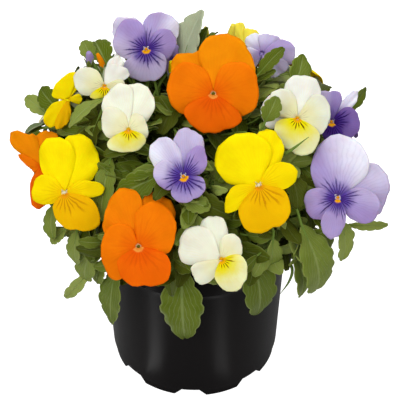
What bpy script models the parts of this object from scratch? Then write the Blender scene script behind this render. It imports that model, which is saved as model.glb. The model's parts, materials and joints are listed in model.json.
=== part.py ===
"""A potted horned violet: a rounded bush of mixed blooms in a black nursery pot.

Metres, +Z up. The tables are in millimetres and degrees. The origin is the middle of the pot's foot, on
the surface that it stands on, and the front of the plant looks along -Y.
"""

import math
import random

import bmesh
import bpy
from mathutils import Matrix, Vector
from mathutils.bvhtree import BVHTree

MM = 0.001
UP = Vector((0.0, 0.0, 1.0))

# What touches keeps this much air between its faces
GAP = 0.0003

# Nursery pot: a 10.5 cm size, thin walled, on a notched foot
POT_STEPS = 36
RIM_RADIUS = 0.0525
RIM_TOP = 0.091
RIM_BAND = 0.0095
RIM_STEP = 0.0012
BASE_RADIUS = 0.048
POT_WALL = 0.0014
FOOT_HEIGHT = 0.0053
FOOT_SET_BACK = 0.001
FOOT_WALL = 0.0024
NOTCHES = 8
NOTCH_TURN = -3.0
NOTCH_FOOT_WIDTH = 0.019
NOTCH_TOP_WIDTH = 0.010
NOTCH_HEIGHT = 0.0049
DRAIN_HOLES = 4
DRAIN_RADIUS = 0.0035
DRAIN_RING = 0.027

# Soil: fills the pot to a finger's width below the rim
SOIL_TOP = 0.0815
SOIL_RELIEF = 0.0014
SOIL_RINGS = (0.0, 0.45, 0.93)

# Bush: leaves and blooms follow this dome
DOME_MIDDLE = Vector((0.0, 0.0, 0.126))
DOME_RADIUS = 0.100
DOME_RISE = 0.068

# Shoots
STEM_RADIUS = 0.0019
STEM_DEPTH = 0.014
STEM_UPRIGHT = 0.004
STALK_RADIUS = 0.0009
STALK_HEIGHTS = (0.95, 0.8, 0.65, 0.52)
STALK_SINK = 0.0020
STALK_HOOK = (0.38, 0.10)
LEAF_THICKNESS = 0.0007
LEAF_STALK_WIDTH = 0.0017

# Blooms
PETAL_THICKNESS = 0.0007
CLAW = 0.0021
HUB_DEPTH = -0.0006
SPUR_TIP = Vector((0.0, -0.0064, -0.0076))
SEAT = Vector((0.0, 0.0018, -0.0041))
CALYX_RADIUS = 0.0019
SEPAL_REACH = 0.0085
SEPAL_DROP = 0.0045
SEPAL_NOTCH_DROP = 0.0012
CALYX_LENGTH = 0.0036

# Root on the soil and growing tip of each shoot
SHOOTS = {
    "crown_front": ((1, -9), (2, -24, 164)),
    "crown_left": ((-11, 3), (-26, 4, 165)),
    "crown_right": ((11, 5), (27, 6, 163)),
    "front": ((-2, -29), (-4, -56, 134)),
    "front_right": ((16, -23), (30, -50, 140)),
    "right": ((30, -12), (58, -26, 140)),
    "right_back": ((30, 11), (59, 20, 138)),
    "back_right": ((15, 27), (30, 54, 136)),
    "back": ((-7, 31), (-12, 60, 134)),
    "back_left": ((-24, 20), (-44, 42, 136)),
    "left": ((-33, 0), (-62, 0, 140)),
    "left_front": ((-27, -17), (-56, -34, 138)),
    "front_left": ((-14, -25), (-30, -50, 138)),
}

# Colour, shoot, eye, yaw, pitch, roll and cup of the face, and reach of upper petals, sides and lip
BLOOMS = {
    "lavender_top_left": ("lavender", "crown_left", (-24.8, 16.7, 191.6), 0, 34, 0, 0, (21, 18, 17)),
    "lavender_behind_top": ("lavender", "crown_left", (-11, 23, 181), 25, 40, 0, 0, (10, 9, 9)),
    "white_top_left": ("white", "crown_left", (-45, -9.5, 186.5), 0, 38, 0, 0, (17, 16, 11)),
    "cream_centre_left": ("cream", "crown_left", (-31.5, -44.6, 184.5), 0, 39, 0, 0, (24, 14, 12)),
    "orange_top": ("orange", "crown_front", (9.5, -26, 192.8), 0, 38, 0, 0, (31, 23, 20)),
    "lavender_centre": ("lavender", "crown_front", (-4.8, -71.9, 176.9), 0, 38, 0, 0, (22, 15, 12)),
    "lavender_top_right": ("lavender", "crown_right", (34.8, 12, 192.3), 0, 38, 0, 0, (13, 18, 16)),
    "white_right": ("white", "crown_right", (50.5, -35.8, 185), 0, 38, 0, 0, (21, 17, 18)),
    "pale_yellow_back": ("pale_yellow", "crown_right", (27.3, 42, 176.8), 0, 38, 0, 0, (16, 12, 12)),
    "white_back": ("white", "back", (-4, 58, 171), -175, 50, 0, 0, (19, 15, 15)),
    "yellow_centre_right": ("yellow", "front_right", (30.7, -72, 171.8), 0, 38, 0, 0, (27, 19, 22)),
    "cream_low": ("cream", "front", (12.9, -96.7, 147.1), 0, 38, 0, 0, (20, 14, 15)),
    "orange_low": ("orange", "front", (-26, -91, 150), 0, 39, 0, 0, (27, 20, 19)),
    "violet_right": ("violet", "right", (69.3, -19, 171), 0, 38, 0, 0, (21, 14, 12)),
    "lavender_right": ("lavender", "right", (69.9, -62.3, 156.6), 0, 37, 0, 0, (29, 20, 18)),
    "violet_back_right": ("violet", "right_back", (84, 42, 132), 116, 22, 0, 0, (18, 15, 15)),
    "yellow_back_right": ("yellow", "right_back", (62, 66, 150), 136, 34, 8, 0, (20, 16, 16)),
    "orange_back": ("orange", "back_right", (33, 85, 146), 158, 34, -6, 0, (23, 18, 18)),
    "yellow_back": ("yellow", "back", (-2, 97, 134), 178, 30, 0, 0, (20, 17, 18)),
    "lavender_back": ("lavender", "back", (-31, 80, 160), -160, 42, 10, 0, (20, 16, 16)),
    "orange_back_left": ("orange", "back_left", (-51, 79, 128), -146, 22, -8, 0, (21, 17, 17)),
    "cream_back_left": ("cream", "back_left", (-80, 51, 132), -124, 26, 0, 0, (19, 15, 16)),
    "yellow_left": ("yellow", "left", (-65.3, 0, 171.8), 0, 38, 0, 0, (17, 19, 17)),
    "orange_far_left": ("orange", "left_front", (-78, -24, 147), 0, 38, 0, 0, (24, 13, 22)),
    "yellow_front_left": ("yellow", "left_front", (-62.7, -61.8, 159.2), 0, 37, 0, 0, (28, 17, 21)),
}

# A petal's fan: angle from, angle to and five lengths across it, as shares of its reach; rear and front upper
# petal, left, right and lip
PLAIN_PETALS = (
    (86, 166, (0.82, 0.97, 1.0, 0.95, 0.76)),
    (14, 102, (0.76, 0.96, 1.0, 0.98, 0.84)),
    (112, 228, (0.72, 0.96, 1.0, 0.94, 0.78)),
    (-48, 68, (0.78, 0.94, 1.0, 0.96, 0.72)),
    (202, 338, (0.80, 0.98, 1.0, 0.98, 0.80)),
)

# The same for the blooms that face the viewer, in millimetres
FRONT_PETALS = {
    "lavender_top_left": (
        (100, 165, (17, 19.5, 22.6, 21.8, 19)), (12, 102, (18, 21.2, 21.9, 19.8, 17)),
        (92, 214, (16, 18.9, 18.4, 16.8, 13)), (-34, 66, (12.5, 14.2, 16.2, 16, 13)),
        (204, 350, (16.2, 16.4, 17, 15.5, 11.8))),
    "cream_centre_left": (
        (24, 102, (12, 18.5, 22, 23.7, 23)), (80, 155, (22.5, 23.2, 21.8, 19, 15.5)),
        (98, 216, (10, 15.2, 14.3, 12.5, 10.5)), (-40, 84, (9.8, 9.4, 9.2, 9.3, 9)),
        (202, 345, (13.5, 11.8, 11, 10.9, 10.2))),
    "orange_top": (
        (95, 160, (23, 23, 26.5, 26.5, 24)), (15, 115, (23, 27.5, 30.5, 31, 26)),
        (100, 222, (14.5, 22, 23.5, 21.8, 20)), (-52, 80, (18.5, 22, 22.8, 22.3, 17)),
        (198, 330, (17.5, 19, 19.8, 18.8, 20))),
    "lavender_centre": (
        (50, 112, (18.5, 21.3, 23, 22.6, 19)), (92, 172, (15, 21, 21.8, 19, 14)),
        (128, 246, (12.5, 14.6, 13.2, 11, 7.5)), (5, 84, (9.5, 12.5, 15, 16.8, 13)),
        (222, 366, (10.5, 12.4, 11.8, 12.2, 10))),
    "white_right": (
        (128, 206, (17.5, 18.3, 17.8, 16.4, 15)), (36, 122, (17.8, 21.2, 22, 20.8, 16.5)),
        (90, 178, (12.5, 16.5, 17.5, 15.6, 12)), (-46, 62, (14, 15.4, 16.2, 17.5, 16)),
        (180, 335, (12, 14.3, 16.8, 18.3, 15))),
    "yellow_centre_right": (
        (42, 95, (17, 23, 26.3, 27.2, 26.5)), (60, 182, (20, 25.5, 26.5, 25.3, 17.5)),
        (176, 240, (12.5, 15, 18, 20, 12)), (-16, 66, (13, 18.3, 19.2, 16.8, 11)),
        (222, 356, (17.5, 22.5, 22, 20, 14.5))),
    "cream_low": (
        (70, 130, (14, 19, 20.4, 20.2, 19)), (105, 196, (16.5, 20.4, 21.6, 20.4, 18.5)),
        (186, 256, (14.5, 15.3, 15.5, 14.8, 9.5)), (2, 98, (9.8, 11.6, 12.9, 13, 10)),
        (242, 384, (10.5, 15.8, 15.8, 13, 10))),
    "orange_low": (
        (28, 105, (20.5, 22.5, 24.8, 26.3, 26.5)), (88, 166, (26.5, 28.8, 25.5, 20.5, 19.5)),
        (105, 250, (12, 17.2, 17.4, 19, 20.5)), (-22, 88, (15.3, 17.8, 20.7, 22.9, 15.5)),
        (205, 352, (13.5, 17.5, 19, 21, 16.5))),
    "lavender_right": (
        (-32, 56, (23, 25, 27, 27.7, 24)), (30, 160, (22.5, 30, 30, 22.8, 14)),
        (146, 246, (12.2, 15.8, 15.6, 14.3, 10)), (-64, 34, (14, 20.8, 21.4, 18.8, 12)),
        (226, 304, (14.5, 19, 20, 15, 8.5))),
    "yellow_front_left": (
        (22, 98, (17, 23, 27, 29.4, 28.5)), (68, 143, (20, 26, 28, 25, 17.5)),
        (118, 228, (11, 15.5, 15.8, 15.3, 9.5)), (-22, 45, (9, 18, 19, 13.5, 10)),
        (222, 354, (9.8, 15, 19.3, 23.2, 16.5))),
    "orange_far_left": (
        (56, 116, (17, 18.4, 18.3, 17.3, 16)), (100, 152, (17.3, 18.3, 22.5, 24.6, 20.5)),
        (146, 232, (15, 9.5, 6.4, 5.6, 5.4)), (-30, 60, (10, 12, 13, 12.5, 10)),
        (228, 290, (10, 15.5, 22, 21.3, 17))),
    "violet_right": (
        (32, 64, (14, 19, 21.5, 19.5, 13.5)), (58, 132, (14.8, 16.4, 15.8, 17, 17.8)),
        (124, 214, (10, 12.5, 13, 12, 9)), (-56, 54, (12.4, 14.2, 14.8, 13.8, 12)),
        (222, 322, (8, 9.8, 11, 10, 9))),
    "white_top_left": (
        (46, 88, (15, 16.5, 17, 16, 13)), (16, 92, (14, 14, 13, 12, 11)),
        (110, 216, (10.5, 14.6, 16.6, 14.4, 11.5)), (-34, 30, (9, 10, 10.5, 10, 9)),
        (206, 324, (9.8, 7.4, 6, 5.6, 5.4))),
    "yellow_left": (
        (50, 86, (9, 10.5, 11.5, 11.5, 10)), (64, 176, (16, 12.8, 11, 9.6, 9.2)),
        (190, 256, (9, 13.5, 17, 17.2, 12.5)), (-26, 34, (6.6, 7, 7.4, 7, 6.6)),
        (238, 290, (15.5, 16, 14, 11, 7.5))),
    "lavender_top_right": (
        (84, 156, (10.2, 11.2, 11.8, 11.4, 10)), (30, 106, (13, 11.8, 10.9, 10.5, 10)),
        (150, 250, (9, 10, 10.5, 10, 9)), (-32, 44, (15.5, 17, 17.4, 15.8, 13)),
        (274, 346, (12.6, 13.8, 14.8, 15.2, 15.4))),
    "pale_yellow_back": (
        (86, 132, (13.5, 15, 14.6, 13, 11)), (30, 98, (10.6, 11.6, 11.5, 11.2, 11)),
        (146, 232, (9, 10, 10.5, 10, 9)), (-40, 40, (8.4, 9, 9.4, 9.4, 8.6)),
        (236, 310, (9, 10.5, 11, 10.5, 9))),
}

# Lift at the eye and tilt of the five petals, and half the angle that a claw takes at the hub
PETAL_LIFTS = ((-0.0022, -16.0), (-0.0012, -11.0), (-0.0001, -3.0), (-0.0001, -3.0), (0.0009, 5.0))
CLAW_SPREAD = 18.0

# Shoot, foot and tip of the blade, width, arch (share of its length), roll and number of scallops a side
LEAVES = {
    "pot_front": ("front", (-6, -72, 121), (-5, -58, 57), 25, 0.10, 0, 4),
    "pot_right": ("front_right", (28.5, -72, 130), (33, -54, 70.5), 20, 0.10, 0, 3),
    "pot_left": ("front_left", (-40, -60, 108), (-45, -47, 57), 15, 0.05, 0, 3),
    "below_yellow": ("front_right", (38, -76, 142), (33, -66, 112), 13, 0.12, -10, 3),
    "right_broad": ("right", (54, -68, 143), (65, -58, 91), 20, 0.12, 8, 4),
    "right_narrow": ("right", (50, -60, 122), (56, -54, 84), 11, 0.10, 0, 2),
    "right_small": ("right", (74, -52, 133), (76, -54, 109), 13, 0.10, 10, 2),
    "right_lobed": ("right", (78.5, -48, 127.5), (100.5, -38, 119.5), 9, 0.05, 12, 3),
    "beside_yellow": ("front_right", (50.5, -64, 164), (55, -76, 148), 13, 0.10, 0, 2),
    "left_upper": ("left_front", (-70, -50, 142), (-70, -62, 130), 12, 0.10, 0, 2),
    "left_mid": ("left_front", (-58, -61, 134), (-60, -58, 110), 10, 0.08, -6, 3),
    "left_low": ("left_front", (-50, -62, 127), (-57, -52, 94), 14, 0.08, -8, 3),
    "left_pale": ("left_front", (-54, -52, 100), (-70, -40, 70), 7, 0.08, -20, 2),
    "beside_orange": ("front_left", (-11, -79, 136), (-11, -78, 106), 7, 0.06, 10, 2),
    "under_lavender": ("crown_front", (-5, -70, 162), (8, -75, 160), 10, 0.10, -10, 3),
    "top_left_broad": ("crown_left", (-46, 26, 176), (-54, 50, 176), 14, 0.10, 10, 3),
    "top_left_folded": ("crown_left", (-54.6, 32, 175.5), (-59.7, 44, 180.2), 9, 0.05, 20, 2),
    "left_shoulder": ("left", (-70, 6, 160), (-82, 22, 164), 12, 0.10, 0, 3),
    "left_shoulder_folded": ("left", (-78, 12, 154), (-91, 26, 156), 9, 0.08, 14, 2),
    "left_toothed": ("left", (-77.5, 6, 153.1), (-87.2, -6, 154.5), 10, 0.08, -25, 3),
    "beside_cream": ("crown_left", (-46, -16, 182.5), (-62, -30, 175), 11, 0.10, 0, 3),
    "top_broad": ("crown_front", (-6, 21, 181), (4.5, 29, 208), 17, 0.05, 30, 3),
    "top_dark": ("crown_front", (6, 18, 182), (10, 30, 194), 9, 0.08, 0, 2),
    "beside_orange_top": ("crown_right", (31.8, -8, 191.7), (45.6, 8, 198.1), 8, 0.08, 0, 3),
    "pointed": ("crown_right", (51, -2, 180), (56, 12, 192), 14, 0.05, 0, 2),
    "over_white": ("crown_right", (34.5, -42.5, 188), (39.8, -38.5, 199.8), 10, 0.08, 0, 2),
    "left_back_reach": ("left", (-80, 24, 126), (-98, 35, 121), 11, 0.10, 0, 2),
    "back_reach": ("back", (14, 84, 118), (18, 107, 112), 14, 0.10, 0, 2),
    "right_blade": ("right", (80, 0, 164), (92, 26, 162), 6, 0.05, 0, 2),
}

# Leaves between these: tried in turn over the dome and left out where there is no room
FILL_COUNT = 42
FILL_TRIES = 18
FILL_LOWEST = -5.0
FILL_HIGHEST = 84.0
FILL_LENGTH = (28.0, 38.0)
FILL_WIDTH = (13.0, 18.0)
FILL_SEED = 11
GOLDEN_ANGLE = 137.508

# The placed leaves hang alone here: degrees to each side of the front, below this height over the dome
LOW_FRONT = (42.0, 18.0)

# These leaves keep off the faces of the blooms: share of a bloom's reach, and how far out in front of it
FACE_SHARE = 0.8
FACE_DEPTH = 0.07

# Triangles of a small leaf's stalk, which come first in it
STALK_TRIANGLES = 3

COLOURS = {
    "pot_plastic": ((0.012, 0.011, 0.012), 0.38),
    "soil": ((0.035, 0.020, 0.012), 0.95),
    "foliage": ((0.085, 0.170, 0.030), 0.55),
    "lavender": ((0.420, 0.330, 0.680), 0.50),
    "violet": ((0.160, 0.075, 0.400), 0.50),
    "orange": ((0.900, 0.200, 0.005), 0.50),
    "yellow": ((1.000, 0.740, 0.000), 0.50),
    "pale_yellow": ((0.950, 0.850, 0.250), 0.50),
    "cream": ((0.900, 0.870, 0.620), 0.50),
    "white": ((0.900, 0.900, 0.820), 0.50),
}


def clear_scene():
    for obj in list(bpy.data.objects):
        bpy.data.objects.remove(obj, do_unlink=True)


def new_collection(name):
    collection = bpy.data.collections.new(name)
    bpy.context.scene.collection.children.link(collection)
    return collection


def material(name):
    """The material of that name, made when it is first asked for."""
    found = bpy.data.materials.get(name)
    if found:
        return found
    colour, roughness = COLOURS[name]
    made = bpy.data.materials.new(name)
    made.use_nodes = True
    shader = made.node_tree.nodes["Principled BSDF"]
    shader.inputs["Base Color"].default_value = (*colour, 1.0)
    shader.inputs["Roughness"].default_value = roughness
    made.diffuse_color = (*colour, 1.0)
    return made


def add_object(name, mesh, collection):
    obj = bpy.data.objects.new(name, mesh)
    collection.objects.link(obj)
    return obj


def finished_mesh(obj):
    """The object's mesh with its modifiers applied."""
    graph = bpy.context.evaluated_depsgraph_get()
    return bpy.data.meshes.new_from_object(obj.evaluated_get(graph))


def drop_object(obj):
    data = obj.data
    bpy.data.objects.remove(obj, do_unlink=True)
    if isinstance(data, bpy.types.Mesh):
        bpy.data.meshes.remove(data)
    else:
        bpy.data.curves.remove(data)


def largest_body(bm):
    """Deletes what isn't joined to the largest body of the mesh."""
    left = set(bm.verts)
    bodies = []
    while left:
        body = set()
        edge = [left.pop()]
        while edge:
            vert = edge.pop()
            body.add(vert)
            for link in vert.link_edges:
                other = link.other_vert(vert)
                if other in left:
                    left.remove(other)
                    edge.append(other)
        bodies.append(body)
    bodies.sort(key=len)
    for body in bodies[:-1]:
        bmesh.ops.delete(bm, geom=list(body), context="VERTS")


def joined(name, pieces):
    """One solid out of overlapping ones, by a Boolean union on a collection."""
    base, others = pieces[0], pieces[1:]
    operands = new_collection(name + "_operands")
    for piece in others:
        for home in list(piece.users_collection):
            home.objects.unlink(piece)
        operands.objects.link(piece)
    union = base.modifiers.new("union", "BOOLEAN")
    union.operation = "UNION"
    union.operand_type = "COLLECTION"
    union.collection = operands
    union.solver = "MANIFOLD"
    mesh = finished_mesh(base)
    for piece in others:
        drop_object(piece)
    bpy.data.collections.remove(operands)
    drop_object(base)
    bm = bmesh.new()
    bm.from_mesh(mesh)
    bmesh.ops.triangulate(bm, faces=bm.faces[:])
    largest_body(bm)
    for face in bm.faces:
        face.material_index = 0
    bm.to_mesh(mesh)
    bm.free()
    mesh.name = name
    mesh.materials.clear()
    return mesh


def tube(name, points, radii, collection):
    """A closed four-sided tube along the points."""
    curve = bpy.data.curves.new(name, "CURVE")
    curve.dimensions = "3D"
    curve.bevel_depth = 1.0
    curve.bevel_resolution = 0
    curve.use_fill_caps = True
    spline = curve.splines.new("POLY")
    spline.points.add(len(points) - 1)
    for slot, point, radius in zip(spline.points, points, radii):
        slot.co = (*point, 1.0)
        slot.radius = radius
    guide = add_object(name, curve, collection)
    mesh = finished_mesh(guide)
    drop_object(guide)
    bm = bmesh.new()
    bm.from_mesh(mesh)
    bmesh.ops.remove_doubles(bm, verts=bm.verts[:], dist=1e-6)
    bmesh.ops.triangulate(bm, faces=bm.faces[:])
    bmesh.ops.recalc_face_normals(bm, faces=bm.faces[:])
    bm.to_mesh(mesh)
    bm.free()
    return add_object(name, mesh, collection)


def blade(name, points, triangles, thickness, collection):
    """A thin closed blade: an open surface with Solidify."""
    mesh = bpy.data.meshes.new(name)
    mesh.from_pydata(points, [], triangles)
    obj = add_object(name, mesh, collection)
    wall = obj.modifiers.new("thickness", "SOLIDIFY")
    wall.thickness = thickness
    wall.offset = 0.0
    return obj


def zip_rows(row_a, row_b, key):
    """Triangles between two rows of points, each row sorted by key; the rows may be unlike in number."""
    triangles = []
    a, b = 0, 0
    while a < len(row_a) - 1 or b < len(row_b) - 1:
        step_a = b == len(row_b) - 1
        if a < len(row_a) - 1 and not step_a:
            step_a = key[row_a[a + 1]] <= key[row_b[b + 1]]
        corner = (row_a[a], row_b[b], row_a[a + 1] if step_a else row_b[b + 1])
        if len(set(corner)) == 3:
            triangles.append(corner)
        if step_a:
            a += 1
        else:
            b += 1
    return triangles


# Pot

def wall_radius(height):
    """The pot's outer radius below its rim band."""
    share = (height - FOOT_HEIGHT) / (RIM_TOP - FOOT_HEIGHT)
    return BASE_RADIUS + (RIM_RADIUS - RIM_STEP - BASE_RADIUS) * share


def turned(name, profile, collection):
    """A body turned from a profile that starts and ends on the axis."""
    mesh = bpy.data.meshes.new(name)
    points = [(radius, 0.0, height) for radius, height in profile]
    mesh.from_pydata(points, [(i, i + 1) for i in range(len(points) - 1)], [])
    obj = add_object(name, mesh, collection)
    screw = obj.modifiers.new("turn", "SCREW")
    screw.steps = POT_STEPS
    screw.render_steps = POT_STEPS
    screw.use_merge_vertices = True
    screw.merge_threshold = 0.00001
    return obj


def cut(obj, cutter, name):
    modifier = obj.modifiers.new(name, "BOOLEAN")
    modifier.operation = "DIFFERENCE"
    modifier.object = cutter
    cutter.hide_render = True
    cutter.display_type = "WIRE"


def make_pot(collection, cutters):
    floor = FOOT_HEIGHT + POT_WALL
    foot = BASE_RADIUS - FOOT_SET_BACK
    band = RIM_TOP - RIM_BAND
    profile = (
        (0.0, floor),
        (wall_radius(floor) - POT_WALL, floor),
        (wall_radius(RIM_TOP) - POT_WALL, RIM_TOP - 0.001),
        (RIM_RADIUS - POT_WALL - 0.0004, RIM_TOP),
        (RIM_RADIUS, RIM_TOP),
        (RIM_RADIUS, band),
        (wall_radius(band), band - 0.0006),
        (BASE_RADIUS, FOOT_HEIGHT + 0.0003),
        (foot, FOOT_HEIGHT - 0.0003),
        (foot, 0.0),
        (foot - FOOT_WALL, 0.0),
        (foot - FOOT_WALL, FOOT_HEIGHT),
        (0.0, FOOT_HEIGHT),
    )
    pot = turned("pot", profile, collection)
    bm = bmesh.new()
    for index in range(NOTCHES):
        add_notch(bm, math.radians(NOTCH_TURN + 360.0 / NOTCHES * index), foot)
    for index in range(DRAIN_HOLES):
        angle = math.radians(45.0 + 360.0 / DRAIN_HOLES * index)
        place = Vector((math.cos(angle), math.sin(angle), 0.0)) * DRAIN_RING + UP * floor
        bmesh.ops.create_cone(
            bm, cap_ends=True, segments=8, radius1=DRAIN_RADIUS, radius2=DRAIN_RADIUS,
            depth=4.0 * POT_WALL, matrix=Matrix.Translation(place),
        )
    mesh = bpy.data.meshes.new("pot_cutter")
    bm.to_mesh(mesh)
    bm.free()
    cut(pot, add_object("pot_cutter", mesh, cutters), "notches and drain holes")
    shade_round(pot)
    pot.data.materials.append(material("pot_plastic"))


def add_notch(bm, angle, foot):
    """A wedge through the foot ring, narrower at its top, on the ring's front at angle 0."""
    half = Vector((NOTCH_FOOT_WIDTH / 2.0, FOOT_WALL * 1.5, NOTCH_HEIGHT))
    made = bmesh.ops.create_cube(bm, size=2.0)["verts"]
    taper = NOTCH_TOP_WIDTH / NOTCH_FOOT_WIDTH
    for vert in made:
        top = vert.co.z > 0.0
        vert.co.x *= half.x * (taper if top else 2.0 - taper)
        vert.co.y = vert.co.y * half.y - foot + FOOT_WALL / 2.0
        vert.co.z *= half.z
    bmesh.ops.rotate(bm, verts=made, cent=(0.0, 0.0, 0.0), matrix=Matrix.Rotation(angle, 3, "Z"))


def shade_round(obj):
    obj.data.shade_smooth()
    obj.data.set_sharp_from_angle(angle=math.radians(35.0))


# Soil

def make_soil(collection, cutters):
    bottom = FOOT_HEIGHT + POT_WALL + GAP
    edge = wall_radius(SOIL_TOP) - POT_WALL - GAP * 1.3
    profile = [(edge * ring, SOIL_TOP) for ring in SOIL_RINGS]
    profile += [
        (edge, SOIL_TOP - 0.0008),
        (wall_radius(bottom) - POT_WALL - GAP * 1.3, bottom),
        (0.0, bottom),
    ]
    turned_soil = turned("soil_turned", profile, cutters)
    mesh = finished_mesh(turned_soil)
    drop_object(turned_soil)
    bm = bmesh.new()
    bm.from_mesh(mesh)
    for vert in bm.verts:
        if vert.co.z > SOIL_TOP - 0.0001:
            vert.co.z += soil_relief(vert.co.x, vert.co.y)
    bmesh.ops.triangulate(bm, faces=bm.faces[:])
    bm.to_mesh(mesh)
    bm.free()
    soil = add_object("soil", mesh, collection)
    bm = bmesh.new()
    for root, _ in SHOOTS.values():
        bmesh.ops.create_cone(
            bm, cap_ends=True, segments=8, radius1=hole_radius(), radius2=hole_radius(),
            depth=STEM_DEPTH * 2.0, matrix=Matrix.Translation((root[0] * MM, root[1] * MM, SOIL_TOP)),
        )
    holes = bpy.data.meshes.new("stem_holes")
    bm.to_mesh(holes)
    bm.free()
    cut(soil, add_object("stem_holes", holes, cutters), "stem holes")
    soil.data.materials.append(material("soil"))


def soil_relief(x, y):
    """Height of the crumbly surface above its mean level."""
    wave = math.sin(x * 210.0 + 1.3) * math.cos(y * 170.0) + 0.6 * math.sin((x + y) * 330.0)
    return SOIL_RELIEF * wave * 0.6


def hole_radius():
    """An eight-sided hole that clears a round stem by the gap."""
    return (STEM_RADIUS + GAP) / math.cos(math.pi / 8.0)


# Corollas

def face_matrix(eye, yaw, pitch, roll):
    """Frame of a bloom: X to the viewer's right, Y up, Z out of the face."""
    yaw, pitch = math.radians(yaw), math.radians(pitch)
    out = Vector((math.sin(yaw) * math.cos(pitch), -math.cos(yaw) * math.cos(pitch), math.sin(pitch)))
    right = Vector((math.cos(yaw), math.sin(yaw), 0.0))
    up = out.cross(right)
    turn = Matrix((right, up, out)).transposed() @ Matrix.Rotation(math.radians(roll), 3, "Z")
    return Matrix.Translation(Vector(eye) * MM) @ turn.to_4x4()


def petals_of(name, bloom):
    """From, to, lengths across, lift, tilt and claw angle of the five petals, in turn round the hub."""
    *_, cup, reach = bloom
    upper, side, lip = reach
    read = FRONT_PETALS.get(name)
    petals = []
    for index, plain in enumerate(PLAIN_PETALS):
        start, end, lengths = read[index] if read else plain
        size = 1.0 if read else (upper, upper, side, side, lip)[index]
        lift, tilt = PETAL_LIFTS[index]
        petals.append([start, end, [length * size * MM for length in lengths], lift, tilt + cup])
    lip = petals[-1]
    beyond_lip = [((sum(petal[:2]) - sum(lip[:2])) / 2.0) % 360.0 for petal in petals]
    order = sorted(range(5), key=lambda index: beyond_lip[index])
    middle = sum(lip[:2]) / 2.0 + sum(beyond_lip[index] - 72.0 * turn for turn, index in enumerate(order)) / 5.0
    return [(*petals[index], middle + 72.0 * turn) for turn, index in enumerate(order)]


def smooth_between(values, place):
    """The value at a place from 0 to the last index, on a smooth curve through the values."""
    place = min(max(place, 0.0), len(values) - 1.0)
    index = min(int(place), len(values) - 2)
    t = place - index
    here, following = values[index], values[index + 1]
    before = values[index - 1] if index else 2.0 * here - following
    after = values[index + 2] if index + 2 < len(values) else 2.0 * following - here
    return here + 0.5 * t * (following - before + t * (
        2.0 * before - 5.0 * here + 4.0 * following - after + t * (3.0 * (here - following) + after - before)))


def petal_point(petal, s, f):
    """A point of a petal: s from claw to edge, f from -1 to 1 across its fan."""
    start, end, lengths, lift, tilt, claw = petal
    edge = smooth_between(lengths, (f + 0.8) / 0.4) * (1.0 - abs(f) ** 10) ** 0.5
    radius = CLAW + s * max(edge - CLAW, 0.0)
    angle = (start + end + f * (end - start)) / 2.0
    if s == 0.0:
        angle = claw + math.copysign(CLAW_SPREAD, f)
    angle = math.radians(angle)
    depth = lift + radius * math.tan(math.radians(tilt)) - 0.10 * radius * radius / max(lengths)
    return Vector((radius * math.cos(angle), radius * math.sin(angle), depth))


# Rows of a petal: share of the way to the edge, and the places across the fan
PETAL_ROWS = (
    (0.0, (-0.34, 0.34)),
    (0.55, (-0.84, 0.0, 0.84)),
    (1.0, (-0.96, -0.66, -0.24, 0.24, 0.66, 0.96)),
)


def corolla_surface(petals, frame):
    """Five overlapping petals that spread from one hub, as an open surface."""
    points, triangles, key, hub = [], [], [], []
    for petal in petals:
        rows = []
        for s, places in PETAL_ROWS:
            rows.append(list(range(len(points), len(points) + len(places))))
            points += [frame @ petal_point(petal, s, f) for f in places]
            key += places
        for inner, outer in zip(rows, rows[1:]):
            triangles += zip_rows(inner, outer, key)
        hub += rows[0]
    middle = len(points)
    points.append(frame @ Vector((0.0, 0.0, HUB_DEPTH)))
    for corner, following in zip(hub, hub[1:] + hub[:1]):
        triangles.append((middle, corner, following))
    return points, triangles


def make_corolla(name, bloom, collection):
    """The petals as one solid, with the middle of its back drawn out into the spur."""
    colour, _, eye, yaw, pitch, roll, *_ = bloom
    frame = face_matrix(eye, yaw, pitch, roll)
    node = "bloom_" + name
    points, triangles = corolla_surface(petals_of(name, bloom), frame)
    petals = blade(node + "_petals", points, triangles, PETAL_THICKNESS, collection)
    mesh = finished_mesh(petals)
    drop_object(petals)
    behind = frame @ Vector((0.0, 0.0, HUB_DEPTH - PETAL_THICKNESS / 2.0))
    min(mesh.vertices, key=lambda vert: (vert.co - behind).length).co = frame @ SPUR_TIP
    mesh.name = node
    corolla = add_object(node, mesh, collection)
    corolla.data.materials.append(material(colour))
    return corolla


# Leafy shoots

def curve_point(ends, t):
    """A point of the quadratic curve through a start, towards a bend, to an end."""
    start, bend, end = ends
    return start.lerp(bend, t).lerp(bend.lerp(end, t), t)


def stem_curve(shoot):
    root, tip = SHOOTS[shoot]
    start = Vector((root[0] * MM, root[1] * MM, SOIL_TOP + STEM_UPRIGHT))
    end = Vector(tip) * MM
    bend = Vector((start.x, start.y, start.z * 0.45 + end.z * 0.55))
    return start, bend, end


def make_stem(shoot, collection):
    ends = stem_curve(shoot)
    foot = ends[0] - UP * (STEM_UPRIGHT + STEM_DEPTH - GAP)
    points = [foot] + [curve_point(ends, t) for t in (0.0, 0.35, 0.7, 1.0)]
    radii = [STEM_RADIUS, STEM_RADIUS, STEM_RADIUS, STEM_RADIUS * 0.85, STEM_RADIUS * 0.6]
    return tube(shoot + "_stem", points, radii, collection)


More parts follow.
